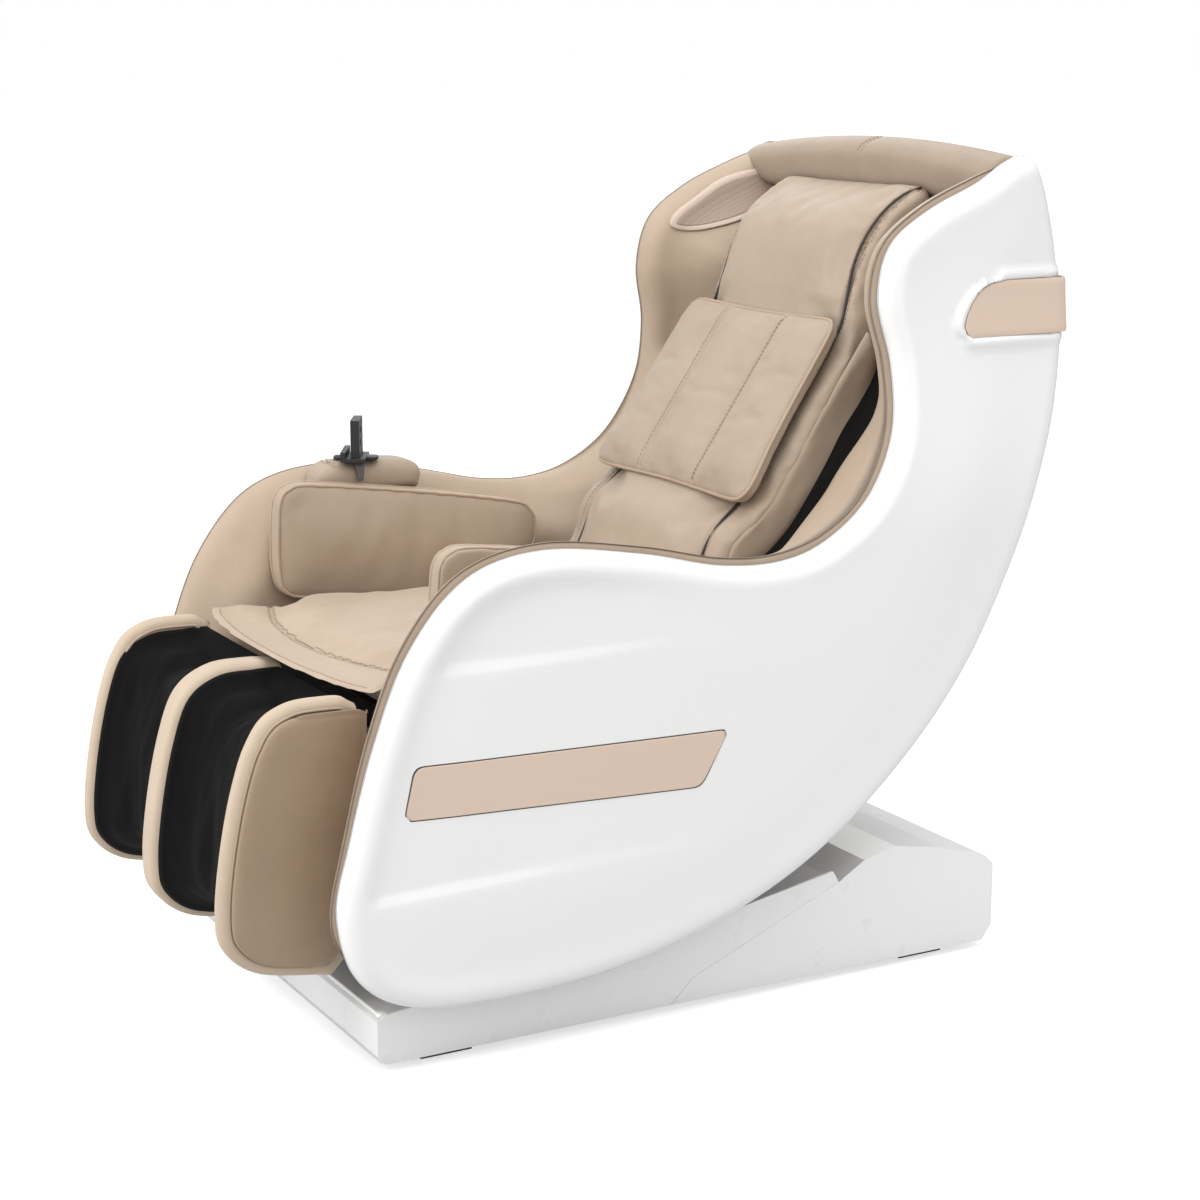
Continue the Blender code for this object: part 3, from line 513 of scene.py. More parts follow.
# ---- materials ------------------------------------------------------------------------------
class Look:
    """A Principled material built up from small procedural layers."""

    def __init__(self, name, colour, roughness, metallic=0.0):
        self.material = bpy.data.materials.new(name)
        self.material.use_nodes = True
        self.tree = self.material.node_tree
        self.shader = self.tree.nodes["Principled BSDF"]
        self.place = self.node("ShaderNodeTexCoord").outputs["Object"]
        self.shader.inputs["Metallic"].default_value = metallic
        rgb = self.node("ShaderNodeRGB")
        rgb.outputs[0].default_value = (*colour, 1.0)
        self.colour = rgb.outputs[0]
        value = self.node("ShaderNodeValue")
        value.outputs[0].default_value = roughness
        self.rough = value.outputs[0]
        self.normal = None

    def node(self, kind, **inputs):
        made = self.tree.nodes.new(kind)
        for key, value in inputs.items():
            self.feed(made.inputs[key.replace("_", " ")], value)
        return made

    def feed(self, socket, value):
        if isinstance(value, bpy.types.NodeSocket):
            self.tree.links.new(value, socket)
        else:
            socket.default_value = value

    def noise(self, scale, detail=4.0, distortion=0.0, stretch=None):
        source = self.place
        if stretch:
            mapping = self.node("ShaderNodeMapping", Vector=source)
            mapping.inputs["Scale"].default_value = stretch
            source = mapping.outputs[0]
        made = self.node("ShaderNodeTexNoise", Vector=source, Scale=scale, Detail=detail)
        made.inputs["Distortion"].default_value = distortion
        return made.outputs["Fac"]

    def cells(self, scale):
        return self.node("ShaderNodeTexVoronoi", Vector=self.place, Scale=scale).outputs["Distance"]

    def span(self, source, low, high, to_low=0.0, to_high=1.0):
        made = self.node("ShaderNodeMapRange", Value=source)
        made.interpolation_type = "SMOOTHSTEP"
        for key, value in (("From Min", low), ("From Max", high), ("To Min", to_low), ("To Max", to_high)):
            made.inputs[key].default_value = value
        return made.outputs[0]

    def math(self, operation, a, b):
        made = self.node("ShaderNodeMath")
        made.operation = operation
        self.feed(made.inputs[0], a)
        self.feed(made.inputs[1], b)
        return made.outputs[0]

    def tint(self, factor, colour):
        made = self.node("ShaderNodeMix")
        made.data_type = "RGBA"
        self.feed(made.inputs[0], factor)
        self.feed(made.inputs[6], self.colour)
        self.feed(made.inputs[7], (*colour, 1.0))
        self.colour = made.outputs[2]

    def vary_rough(self, factor, amount):
        self.rough = self.math("ADD", self.rough, self.math("MULTIPLY", factor, amount))

    def bump(self, height, strength, size):
        made = self.node("ShaderNodeBump", Height=height, Strength=strength, Distance=size)
        if self.normal:
            self.feed(made.inputs["Normal"], self.normal)
        self.normal = made.outputs[0]

    def edges(self):
        """0 in hollows, 1 on sharp edges."""
        return self.node("ShaderNodeNewGeometry").outputs["Pointiness"]

    def shade(self, size):
        # Ambient occlusion, used by the materials to paint shade into hollows and seams.
        made = self.node("ShaderNodeAmbientOcclusion")
        made.samples = 4
        made.inputs["Distance"].default_value = size
        return made.outputs["AO"]

    def soft_edges(self, radius):
        made = self.node("ShaderNodeBevel")
        made.samples = 4
        made.inputs["Radius"].default_value = radius
        if self.normal:
            self.feed(made.inputs["Normal"], self.normal)
        self.normal = made.outputs[0]

    def done(self, **extra):
        self.feed(self.shader.inputs["Base Color"], self.colour)
        self.feed(self.shader.inputs["Roughness"], self.rough)
        if self.normal:
            self.feed(self.shader.inputs["Normal"], self.normal)
        for key, value in extra.items():
            self.shader.inputs[key.replace("_", " ")].default_value = value
        return self.material


def scaled(colour, factor, lift=0.0):
    """A colour made lighter or darker."""
    return tuple(min(c * factor + lift, 1) for c in colour)


def leather(name, colour, dark, seed=1.0):
    """Soft fine-grained artificial leather: pebbles, creases, sheen, lighter rubbed edges and painted shade
    in hollows.
    """
    look = Look(name, colour, 0.47)
    look.tint(look.span(look.noise(9.0 + seed, 3.0), 0.3, 0.7, 0.0, 0.35), dark)
    look.tint(look.span(look.noise(55.0, 4.0), 0.45, 0.75, 0.0, 0.16), scaled(colour, 1.18))
    pores = look.cells(950.0)
    grain = look.noise(620.0, 3.0)
    look.tint(look.span(pores, 0.0, 0.35, 0.14, 0.0), dark)
    look.tint(look.span(look.edges(), 0.52, 0.60, 0.0, 0.30), scaled(colour, 1.25))
    # Painted shade: the colour darkens where ambient occlusion finds hollows, creases and seams.
    look.tint(look.span(look.shade(0.018), 0.25, 0.95, 0.55, 0.0), scaled(dark, 0.55))
    look.vary_rough(look.noise(40.0, 4.0), 0.12)
    look.bump(look.noise(85.0, 5.0, 0.6), 0.22, 0.0010)
    look.bump(pores, 0.35, 0.00018)
    look.bump(grain, 0.22, 0.00016)
    return look.done(Sheen_Weight=0.12, Sheen_Roughness=0.5, Specular_IOR_Level=0.42)


def moulded(name, colour, roughness, coat=0.0, edge=0.0, speckle=0.0, wear=True):
    """Injection-moulded plastic with faint waviness, fine texture, softened edges and painted shade in
    hollows.
    """
    look = Look(name, colour, roughness)
    look.tint(look.span(look.noise(3.0, 2.0), 0.3, 0.7, 0.0, 0.10), scaled(colour, 0.93))
    if wear:
        look.tint(look.span(look.edges(), 0.53, 0.62, 0.0, 0.25), scaled(colour, 1.15, 0.02))
    # Painted shade: the colour darkens where ambient occlusion finds hollows and places where parts meet.
    look.tint(look.span(look.shade(0.03), 0.2, 0.9, 0.30, 0.0), scaled(colour, 0.60))
    look.vary_rough(look.noise(24.0, 4.0), 0.07)
    if edge:
        look.soft_edges(edge)
    look.bump(look.noise(7.0, 2.0), 0.06, 0.002)
    if speckle:
        look.bump(look.noise(1500.0, 2.0), speckle, 0.0001)
    return look.done(Coat_Weight=coat, Coat_Roughness=0.08)


def painted(name, colour, metallic, roughness):
    """Powder-coated or ground metal with orange peel and worn edges."""
    look = Look(name, colour, roughness, metallic)
    look.tint(look.span(look.noise(18.0, 5.0), 0.35, 0.75, 0.0, 0.35), scaled(colour, 0.7))
    look.tint(look.span(look.edges(), 0.54, 0.64, 0.0, 0.5), scaled(colour, 1.8, 0.05))
    look.vary_rough(look.noise(60.0, 5.0), 0.15)
    look.soft_edges(0.0012)
    look.bump(look.noise(700.0, 2.0), 0.15, 0.0002)
    return look.done()


def brushed(name, colour):
    look = Look(name, colour, 0.24, 1.0)
    lines = look.noise(260.0, 3.0, 0.0, (0.02, 1.0, 1.0))
    look.tint(look.span(lines, 0.35, 0.65, 0.0, 0.3), scaled(colour, 0.75))
    look.vary_rough(lines, 0.2)
    look.bump(lines, 0.15, 0.0001)
    return look.done()


def stretch_fabric(name, colour):
    """Matt black knitted fabric: fine ribs, lint and a soft sheen."""
    look = Look(name, colour, 0.86)
    wave = look.node("ShaderNodeTexWave", Vector=look.place, Scale=260.0, Distortion=0.6, Detail=1.0)
    cross = look.node("ShaderNodeTexWave", Vector=look.place, Scale=230.0, Distortion=0.6, Detail=1.0)
    cross.bands_direction = "Z"
    weave = look.math("MULTIPLY", wave.outputs["Fac"], cross.outputs["Fac"])
    look.tint(look.span(weave, 0.2, 0.8, 0.0, 0.5), scaled(colour, 2.2, 0.002))
    look.tint(look.span(look.noise(14.0, 4.0), 0.4, 0.8, 0.0, 0.4), scaled(colour, 1.8))
    look.bump(look.noise(28.0, 3.0, 0.8), 0.35, 0.0030)
    look.bump(weave, 0.5, 0.0003)
    return look.done(Sheen_Weight=0.025, Sheen_Roughness=0.5, Specular_IOR_Level=0.12)


def perforated(name, colour):
    """Speaker mesh: a close hexagonal grid of dark holes in a satin skin."""
    look = Look(name, colour, 0.45)
    mapping = look.node("ShaderNodeMapping", Vector=look.place)
    mapping.inputs["Rotation"].default_value = (0.35, 0.0, 0.0)
    look.place = mapping.outputs[0]
    made = look.node("ShaderNodeTexVoronoi", Vector=look.place, Scale=330.0)
    made.inputs["Randomness"].default_value = 0.0
    holes = made.outputs["Distance"]
    look.tint(look.span(holes, 0.22, 0.40, 0.50, 0.0), scaled(colour, 0.35))
    look.bump(look.span(holes, 0.20, 0.45, 0.0, 1.0), 0.4, 0.0004)
    look.vary_rough(look.noise(60.0, 3.0), 0.1)
    return look.done()


LIGHT_LEATHER = (0.424, 0.336, 0.256)
M = {
    "leather": leather("leather_beige_soft", LIGHT_LEATHER, (0.352, 0.266, 0.190)),
    "seat": leather("leather_beige_seat", (0.480, 0.378, 0.285), (0.395, 0.298, 0.212), 6.0),
    "hood": leather("leather_beige_hood", (0.345, 0.264, 0.194), (0.288, 0.212, 0.150), 7.0),
    "liner": leather("leather_beige_liner", (0.475, 0.370, 0.276), (0.388, 0.290, 0.206), 2.0),
    # The calf rest's outer panels: a darker copy of the beige leather, partly a darker leather and partly
    # painted shade for their side faces.
    "panel": leather("leather_dark_and_shaded_panel", (0.362, 0.262, 0.177), (0.288, 0.203, 0.132), 3.0),
    # The calf rest's strips: a lighter copy of the beige leather, partly a lighter leather and partly painted
    # light for the light on their fronts.
    "strip": leather("leather_light_and_lit_strip", (0.560, 0.448, 0.335), (0.48, 0.376, 0.276), 4.0),
    "piping": leather("leather_piping", (0.440, 0.330, 0.237), (0.360, 0.262, 0.182), 5.0),
    "thread": moulded("thread", (0.40, 0.30, 0.215), 0.6),
    "white": moulded("gloss_white", (0.885, 0.885, 0.882), 0.17, 0.5),
    # The carried-over white pieces, such as the base covers, get a lighter white than the shells: partly a
    # whiter plastic, partly painted light for the bright light on the base.
    "white_cad": moulded("gloss_white_edges", (0.94, 0.94, 0.938), 0.25, 0.3, wear=False),
    "rose": moulded("satin_rose", (0.720, 0.560, 0.450), 0.30, 0.2, 0.0, 0.10),
    "bezel": moulded("satin_bezel", (0.600, 0.470, 0.385), 0.33, 0.1),
    # Near-black painted shade for thin gaps and seam lines, where shade would fall.
    "gap": moulded("painted_gap_shade", (0.05, 0.045, 0.042), 0.6),
    "fabric": stretch_fabric("black_knit", (0.0022, 0.0021, 0.0022)),
    "grille": perforated("speaker_mesh", (0.400, 0.300, 0.235)),
    "steel": painted("powder_coat", (0.030, 0.030, 0.033), 0.3, 0.42),
    "bright": brushed("ground_steel", (0.55, 0.55, 0.57)),
    "black": moulded("black_plastic", (0.014, 0.014, 0.015), 0.42, 0.0, 0.0015, 0.35),
    "grey": moulded("grey_plastic", (0.120, 0.122, 0.126), 0.45, 0.0, 0.0, 0.30),
    "rubber": moulded("rubber", (0.012, 0.012, 0.012), 0.75, 0.0, 0.0015, 0.5),
    "roller": moulded("roller_plastic", (0.055, 0.055, 0.060), 0.36, 0.0, 0.0015, 0.25),
}
CAD_LOOK = {
    "shell_white": "white_cad", "accent_rose": "rose", "leather_beige": "leather", "calf_fabric": "fabric",
    "grille": "grille", "frame_steel": "steel", "bright_steel": "bright", "black_plastic": "black",
    "rubber": "rubber", "roller_plastic": "roller"}


def dress_frame():
    """Every carried-over CAD piece gets its finish and fine rounded edges."""
    for part in frame["record"]["subparts"]:
        node = frame["nodes"][part["node"]]
        material = M[CAD_LOOK[part["material_slot"]]]
        if node.data.materials:
            for i in range(len(node.data.materials)):
                node.data.materials[i] = material
        else:
            node.data.materials.append(material)
        bevel = node.modifiers.new("edges", "BEVEL")
        bevel.width = 0.0008
        bevel.segments = 2
        bevel.limit_method = "ANGLE"
        bevel.angle_limit = radians(40)
        bevel.use_clamp_overlap = True


# ---- side shells ------------------------------------------------------------------------------
UPPER_STEP = np.array([(-0.56, 0.508), (-0.30, 0.508), (-0.02, 0.516)])
LOWER_STEP = np.array([(-0.60, 0.236), (-0.45, 0.243), (-0.10, 0.252)])
STEP_WIDE = 0.017
BAND_LOW, BAND_HIGH = 0.853, 0.924
BAND_FRONT = np.array([
    (0.853, 0.331), (0.858, 0.322), (0.868, 0.318), (0.882, 0.323), (0.896, 0.331),
    (0.908, 0.341), (0.917, 0.354), (0.922, 0.368), (0.924, 0.386)])
ACCENT = [(-0.476, 0.396), (-0.052, 0.389), (-0.092, 0.321), (-0.491, 0.333)]


def band_front(z):
    """Where the trim band's rounded front end stands at a height."""
    return np.interp(z, BAND_FRONT[:, 0], BAND_FRONT[:, 1])


def shell_face(points, depth):
    """Height of the shell's outer skin over the side plane."""
    y, z = points[:, 0], points[:, 1]
    edge = SHELL_X - 0.0008 - 0.025 * brink(depth, SHELL_ROUND)
    front = fade(y, -0.52, 0.50)
    inner = ease((depth - SHELL_ROUND * 0.8) / 0.028)
    dish = np.zeros(len(points))
    for line, sink in ((UPPER_STEP, 0.0068), (LOWER_STEP, 0.0064)):
        height = np.interp(y, line[:, 0], line[:, 1])
        wide = STEP_WIDE * np.clip(fade(y, -0.30, 0.24), 0.15, 1)
        dish += sink * ease((z - height + wide / 2) / wide) * front
    dish += 0.0022 * front
    sweep = 0.0035 * ease((depth - 0.03) / 0.10)
    away = np.hypot(np.maximum(band_front(z) - y, 0), np.maximum(np.maximum(BAND_LOW - z, z - BAND_HIGH), 0))
    boss = 0.0045 * fade(away, 0.008, 0.009) - 0.0045 * fade(away, 0.0005, 0.0015)
    return edge - 0.003 + sweep - dish * inner + boss * ease(depth / 0.010) - taper(z)


def make_shells():
    outline = curve(SHELL_EDGE, 8, True)
    lines = [line + np.array([0, shift * STEP_WIDE])
             for line in (UPPER_STEP, LOWER_STEP) for shift in (-0.5, -0.2, 0.2, 0.5)]
    front = [(y, z) for z, y in BAND_FRONT]
    for grow in (0.0, 0.0016, 0.008, 0.0125, 0.017):
        ring = [(y - grow, z) for y, z in front]
        lines.append(np.array([(0.45, BAND_LOW - grow), (front[0][0], BAND_LOW - grow), *ring,
                               (front[-1][0], BAND_HIGH + grow), (0.45, BAND_HIGH + grow)]))

    def back(points, depth):
        return SHELL_IN + 0.0003 + 0.002 * brink(depth, 0.003) - taper(points[:, 1])

    for name, side in SIDES:
        form = plate(outline, shell_face, back, flank(side), SHELL_ROUND, 0.0075, lines)
        piece("shell_" + name, form, "white", replaces=["side_shell_" + name])
        # The dark plate 1.6 mm round each accent strip is painted shade for the gap round the inset strip.
        for stem, look, grow, thick in (("accent_gap_shade_", "gap", 0.0016, 0.0006),
                                        ("accent_", "rose", 0.0, 0.0014)):
            strip = rounded([(y + (grow if y > -0.2 else -grow), z + (grow if z > 0.36 else -grow))
                             for y, z in ACCENT], 0.012)

            def strip_face(points, depth):
                height = shell_face(points, distance(points, outline, True))
                return height + thick - 0.0010 * brink(depth, 0.0014)

            def strip_rear(points, depth):
                return shell_face(points, distance(points, outline, True)) - 0.0015

            form = plate(strip, strip_face, strip_rear, flank(side), 0.0022, 0.008)
            replaced = ["accent_strip_" + name] if look == "rose" else []
            piece(stem + name, form, look, replaces=replaced)


# ---- liners, wings, hood ------------------------------------------------------------------------
ARM_IN = 0.272
WING_IN = 0.203
crest_path = curve(CREST, 8)


def liner_depth(points):
    """How far the padded inner skin stands in from the shell, and its distance from the crest."""
    y, z = points[:, 0], points[:, 1]
    d = distance(points, crest_path)
    head = ease((y - 0.00) / 0.17)
    arm_reach = SHELL_IN - ARM_IN
    arm = arm_reach * (0.34 * roll(d / 0.026) + 0.66 * ease(d / 0.085))
    wing_reach = SHELL_IN - taper(z) - WING_IN
    bolster = 0.036 + np.minimum(0.076, wing_reach - 0.040) * ease((0.80 - z) / 0.14)
    wing = bolster * roll(d / 0.030) + (wing_reach - bolster) * ease((d - 0.020) / 0.110)
    return arm * (1 - head) + wing * head, d


def liner_skin(points, depth):
    """The liners' inner skin, with a faint ripple."""
    reach, d = liner_depth(points)
    y, z = points[:, 0], points[:, 1]
    ripple = 0.0010 * wobble(np.stack([y * 0, y, z], axis=1), 0.10, 3.0) * ease(d / 0.05)
    return SHELL_IN - 0.0005 - taper(z) - reach + ripple


def make_liners():
    outline = np.vstack([crest_path, np.array(LINER_REAR)])

    def outer(points, depth):
        crest = 0.004 * brink(distance(points, crest_path), 0.006)
        return SHELL_IN - 0.0004 - taper(points[:, 1]) - crest

    for name, side in SIDES:
        form = plate(outline, liner_skin, outer, flank(side), 0.022, 0.009)
        piece("liner_" + name, form, "liner", replaces=["arm_liner_" + name, "head_wing_" + name])
        make_speaker(name, side)


LEAF = [
    (0.2290, 0.9680), (0.2400, 0.9830), (0.2680, 1.0010), (0.3200, 1.0300), (0.3780, 1.0430),
    (0.4180, 1.0400), (0.4200, 1.0200), (0.3900, 0.9950), (0.3400, 0.9730), (0.2900, 0.9600),
    (0.2560, 0.9560), (0.2340, 0.9600)]


def make_speaker(name, side):
    """A leaf-shaped bezel and mesh that follow the wing's skin."""
    leaf = curve(LEAF, 6, True)
    for stem, look, grow, radius, shrink in (("speaker_bezel_", "bezel", 0.0045, 0.004, 0.0),
                                             ("speaker_mesh_", "grille", 0.0056, 0.0025, 0.0065)):

        def front(points, depth):
            return liner_skin(points, depth) - grow + 0.002 * brink(depth, radius)

        def back(points, depth):
            return liner_skin(points, depth) + 0.004

        form = plate(inset(leaf, shrink), front, back, flank(side), radius, 0.006)
        piece(stem + name, form, look, replaces=["speaker_" + name] if look == "bezel" else [])


HOOD_SECTION = [
    (0.374, 1.0440), (0.376, 1.0580), (0.392, 1.0725), (0.418, 1.0790), (0.438, 1.0735), (0.453, 1.0580),
    (0.462, 1.0350), (0.450, 1.0250), (0.430, 1.0200), (0.405, 1.0180), (0.382, 1.0260)]
HOOD_RISE = 0.018


def make_hood():
    """The padded roll over the head, bowed up in the middle, with one seam across its centre."""
    section = curve(HOOD_SECTION, 5, True)
    out = section - section.mean(axis=0)
    out /= np.linalg.norm(out, axis=1)[:, None]
    half = SHELL_IN - 0.0025 - TAPER
    rings = []
    for t in np.linspace(-1, 1, 57):
        x = t * half
        seam = 0.0022 * np.exp(-(x / 0.0028) ** 2)
        ring = section - out * seam
        lift = HOOD_RISE * (1 - t * t) * ease((ring[:, 1] - 1.036) / 0.022)
        rings.append(np.stack([np.full(len(ring), x), ring[:, 0], ring[:, 1] + lift], axis=1))
    tree = skin(piece("hood_cover", loft(rings), "hood", replaces=["hood"]))
    paths = [[(x, y, z + HOOD_RISE) for y, z in curve(HOOD_SECTION[1:7], 10)] for x in (-0.0055, 0.0055)]
    piece("hood_stitching", merge([stitches(*lay(tree, path)) for path in paths]), "thread")


# ---- cushions -----------------------------------------------------------------------------------
BACK_ORIGIN = np.array([0.0, 0.088, 0.640])
LEAN = radians(34.5)
BACK_UP = np.array([0.0, sin(LEAN), cos(LEAN)])
BACK_OUT = np.array([0.0, cos(LEAN), -sin(LEAN)])


def on_back(u, v, h):
    """Points by place across, along and in front of the back."""
    u, v, h = (np.asarray(a, float)[:, None] for a in (u, v, h))
    return BACK_ORIGIN + BACK_UP * v - BACK_OUT * h + np.array([1.0, 0, 0]) * u


def back_frame(points):
    """The reverse of on_back."""
    rel = points - BACK_ORIGIN
    return rel[:, 0], rel @ BACK_UP, -(rel @ BACK_OUT)


def seam_set(name, obj, lines, body, offset, deep, wide, even=6):
    """Grooves along seams with a row of stitches on each side."""
    tree = skin(obj)
    laid = [soften(lay(tree, line)[0], even) for line in lines]
    for path in laid:
        groove(obj, path, deep, wide, 0.0006)
    tree = skin(obj)
    parts = []
    for path in laid:
        points, up = lay(tree, path)
        along = np.gradient(points, axis=0)
        along /= np.maximum(np.linalg.norm(along, axis=1), 1e-9)[:, None]
        across = np.cross(along, up)
        for side in (-1, 1):
            row, row_up = lay(tree, points + side * offset * across)
            parts.append(stitches(row, row_up))
    piece(name, merge(parts), "thread", body)


def make_pillow():
    outline = curve(mirrored([
        (0.0, -0.009), (0.09, -0.011), (0.172, -0.012), (0.192, -0.004), (0.198, 0.018), (0.190, 0.075),
        (0.186, 0.135), (0.184, 0.200), (0.182, 0.238), (0.176, 0.256), (0.158, 0.263), (0.08, 0.261),
        (0.0, 0.260)], 4), 5, True)
    channels = [np.array([(u, v) for v in np.linspace(-0.008, 0.258, 40)]) for u in (-0.070, 0.070)]

    def front(points, depth):
        return 0.015 + 0.011 * roll(depth / 0.030)

    def back(points, depth):
        return 0.0018 + 0.004 * brink(depth, 0.010)

    def hold(points):
        u, v, h = back_frame(points)
        flat = np.stack([u, v], axis=1)
        sewn = fade(distance(flat, outline, True), 0.004, 0.008) * (h < 0.020)
        for line in channels:
            sewn = np.maximum(sewn, fade(distance(flat, line), 0.002, 0.010) * (h > 0.010))
        return np.where(h < 0.008, 1.0, sewn)

    def limit(points):
        u, v, h = back_frame(points)
        return on_back(u, v, np.maximum(h, 0.0015))

    form = plate(outline, front, back, on_back, 0.014, 0.007)
    obj = piece("pillow_cushion", form, "leather", "pillow", ["back_pillow"])
    puff(obj, hold, pressure=5.0, voxel=0.0048, cap=0.013, slack=0.035, bend=0.8, even=6, limit=limit)
    lines = [on_back(line[:, 0], line[:, 1], np.full(len(line), 0.026)) for line in channels]
    seam_set("pillow_stitching", obj, lines, "pillow", 0.0050, 0.0026, 0.0024)
    rim = resample(outline, 0.006, True)
    cord, _ = lay(skin(obj), on_back(rim[:, 0], rim[:, 1], np.full(len(rim), 0.0165)), 0.0004)
    piece("pillow_piping", tube(cord, 0.0027, True), "piping", "pillow")


PAD_STEP = 0.004
PAD_PATH = curve([
    (-0.004, 0.500), (0.020, 0.545), (0.042, 0.598), (0.096, 0.645), (0.168, 0.752), (0.232, 0.848),
    (0.247, 0.895), (0.266, 0.950), (0.302, 1.003), (0.348, 1.036), (0.385, 1.048)], 12)
PAD_LINE = resample(PAD_PATH, PAD_STEP)
PAD_NORMAL = normals(PAD_LINE)
PAD_LENGTH = PAD_STEP * (len(PAD_LINE) - 1)


def on_pad(u, v, h):
    """Points by place across, along the pad's face path, and in front of it."""
    u, v, h = (np.asarray(a, float) for a in (u, v, h))
    marks = np.linspace(0, PAD_LENGTH, len(PAD_LINE))
    place = [np.interp(v, marks, PAD_LINE[:, k]) for k in range(2)]
    out = [np.interp(v, marks, PAD_NORMAL[:, k]) for k in range(2)]
    return np.stack([u, place[0] - out[0] * h, place[1] - out[1] * h], axis=1)


def pad_frame(points):
    """The reverse of on_pad: across, along and in front."""
    flat = points[:, 1:]
    nearest = np.array([int(np.argmin(np.sum((PAD_LINE - p) ** 2, axis=1))) for p in flat])
    rel = flat - PAD_LINE[nearest]
    return points[:, 0], nearest * PAD_STEP, -np.sum(rel * PAD_NORMAL[nearest], axis=1)


GUSSET_REAR = [
    (0.262, 0.852), (0.278, 0.826), (0.275, 0.793), (0.261, 0.754), (0.228, 0.696), (0.201, 0.658),
    (0.167, 0.621), (0.130, 0.584), (0.100, 0.560), (0.070, 0.555)]


def make_back_pad():
    half, head = 0.198, 0.172
    top = PAD_LENGTH - 0.003
    outline = rounded([(-half, 0.0), (half, 0.0), (half, 0.36), (head, 0.50), (head, top), (-head, top),
                       (-head, 0.50), (-half, 0.36)], 0.030, 6)
    seam_at = 0.160

    def front(points, depth):
        return -0.020 + 0.016 * roll(depth / 0.034)

    def back(points, depth):
        return np.full(len(points), -0.048)

    def hold(points):
        u, v, h = pad_frame(points)
        sewn = fade(np.abs(np.abs(u) - seam_at), 0.003, 0.010) * (h > -0.022)
        return np.where((h < -0.030) | (v > PAD_LENGTH - 0.02), 1.0, sewn)

    obj = piece("back_cushion", plate(outline, front, back, on_pad, 0.024, 0.009), "leather",
                replaces=["back_pad"])
    puff(obj, hold, pressure=4.0, voxel=0.0068, cap=0.018, slack=0.05, bend=0.8, even=3)
    along = np.linspace(0.02, PAD_LENGTH - 0.010, 90)
    lines = [on_pad([side * seam_at] * len(along), along, [-0.002] * len(along)) for side in (-1, 1)]
    seam_set("back_stitching", obj, lines, "chair", 0.0065, 0.0060, 0.0034)
    tree = skin(obj)
    # Dark cords laid in the seam grooves: painted shade that darkens the seam lines.
    piece("back_seam_shade", merge([tube(soften(lay(tree, line)[0], 14), 0.0019) for line in lines]), "gap")


def make_back_sides():
    """The wrinkled side panels of the back, and the black lining between the back and the wings."""
    face_line = on_pad([0.0] * 40, np.linspace(0.03, 0.345, 40), [-0.020] * 40)[:, 1:]
    skirt = np.vstack([face_line, curve(GUSSET_REAR, 6)])
    above = PAD_LENGTH - 0.035

    def skirt_outer(points, depth):
        place = np.stack([points @ BACK_UP[1:] * 0.5, points @ BACK_OUT[1:] * 1.5, points[:, 0] * 0], axis=1)
        fold = 0.0032 * wobble(place, 0.032, 11.0)
        return 0.2005 + (fold + 0.0012) * ease(depth / 0.012) - 0.004 * brink(depth, 0.006)

    def skirt_inner(points, depth):
        return 0.1935 + 0.002 * brink(depth, 0.006)

    def lining_front(points, depth):
        place = np.stack([points[:, 0] * 1.6, points[:, 1] * 0.4, points[:, 0] * 0], axis=1)
        pleat = 0.004 * wobble(place, 0.03, 7.0)
        return -0.062 + pleat * ease(depth / 0.01)

    def lining_back(points, depth):
        return lining_front(points, depth) - 0.0022

    for name, side in SIDES:
        form = plate(skirt, skirt_outer, skirt_inner, flank(side), 0.006, 0.006)
        piece("back_gusset_" + name, form, "leather")
        edge = [(side * 0.184, 0.012), (side * 0.262, 0.012), (side * 0.262, above), (side * 0.150, above),
                (side * 0.150, 0.500), (side * 0.184, 0.440)]
        strip = rounded(edge[::side], 0.020, 6)
        piece("back_lining_" + name, plate(strip, lining_front, lining_back, on_pad, 0.002, 0.008), "fabric")


SEAT_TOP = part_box("seat_pad")[1].z
FLAP_LOW = 0.4690


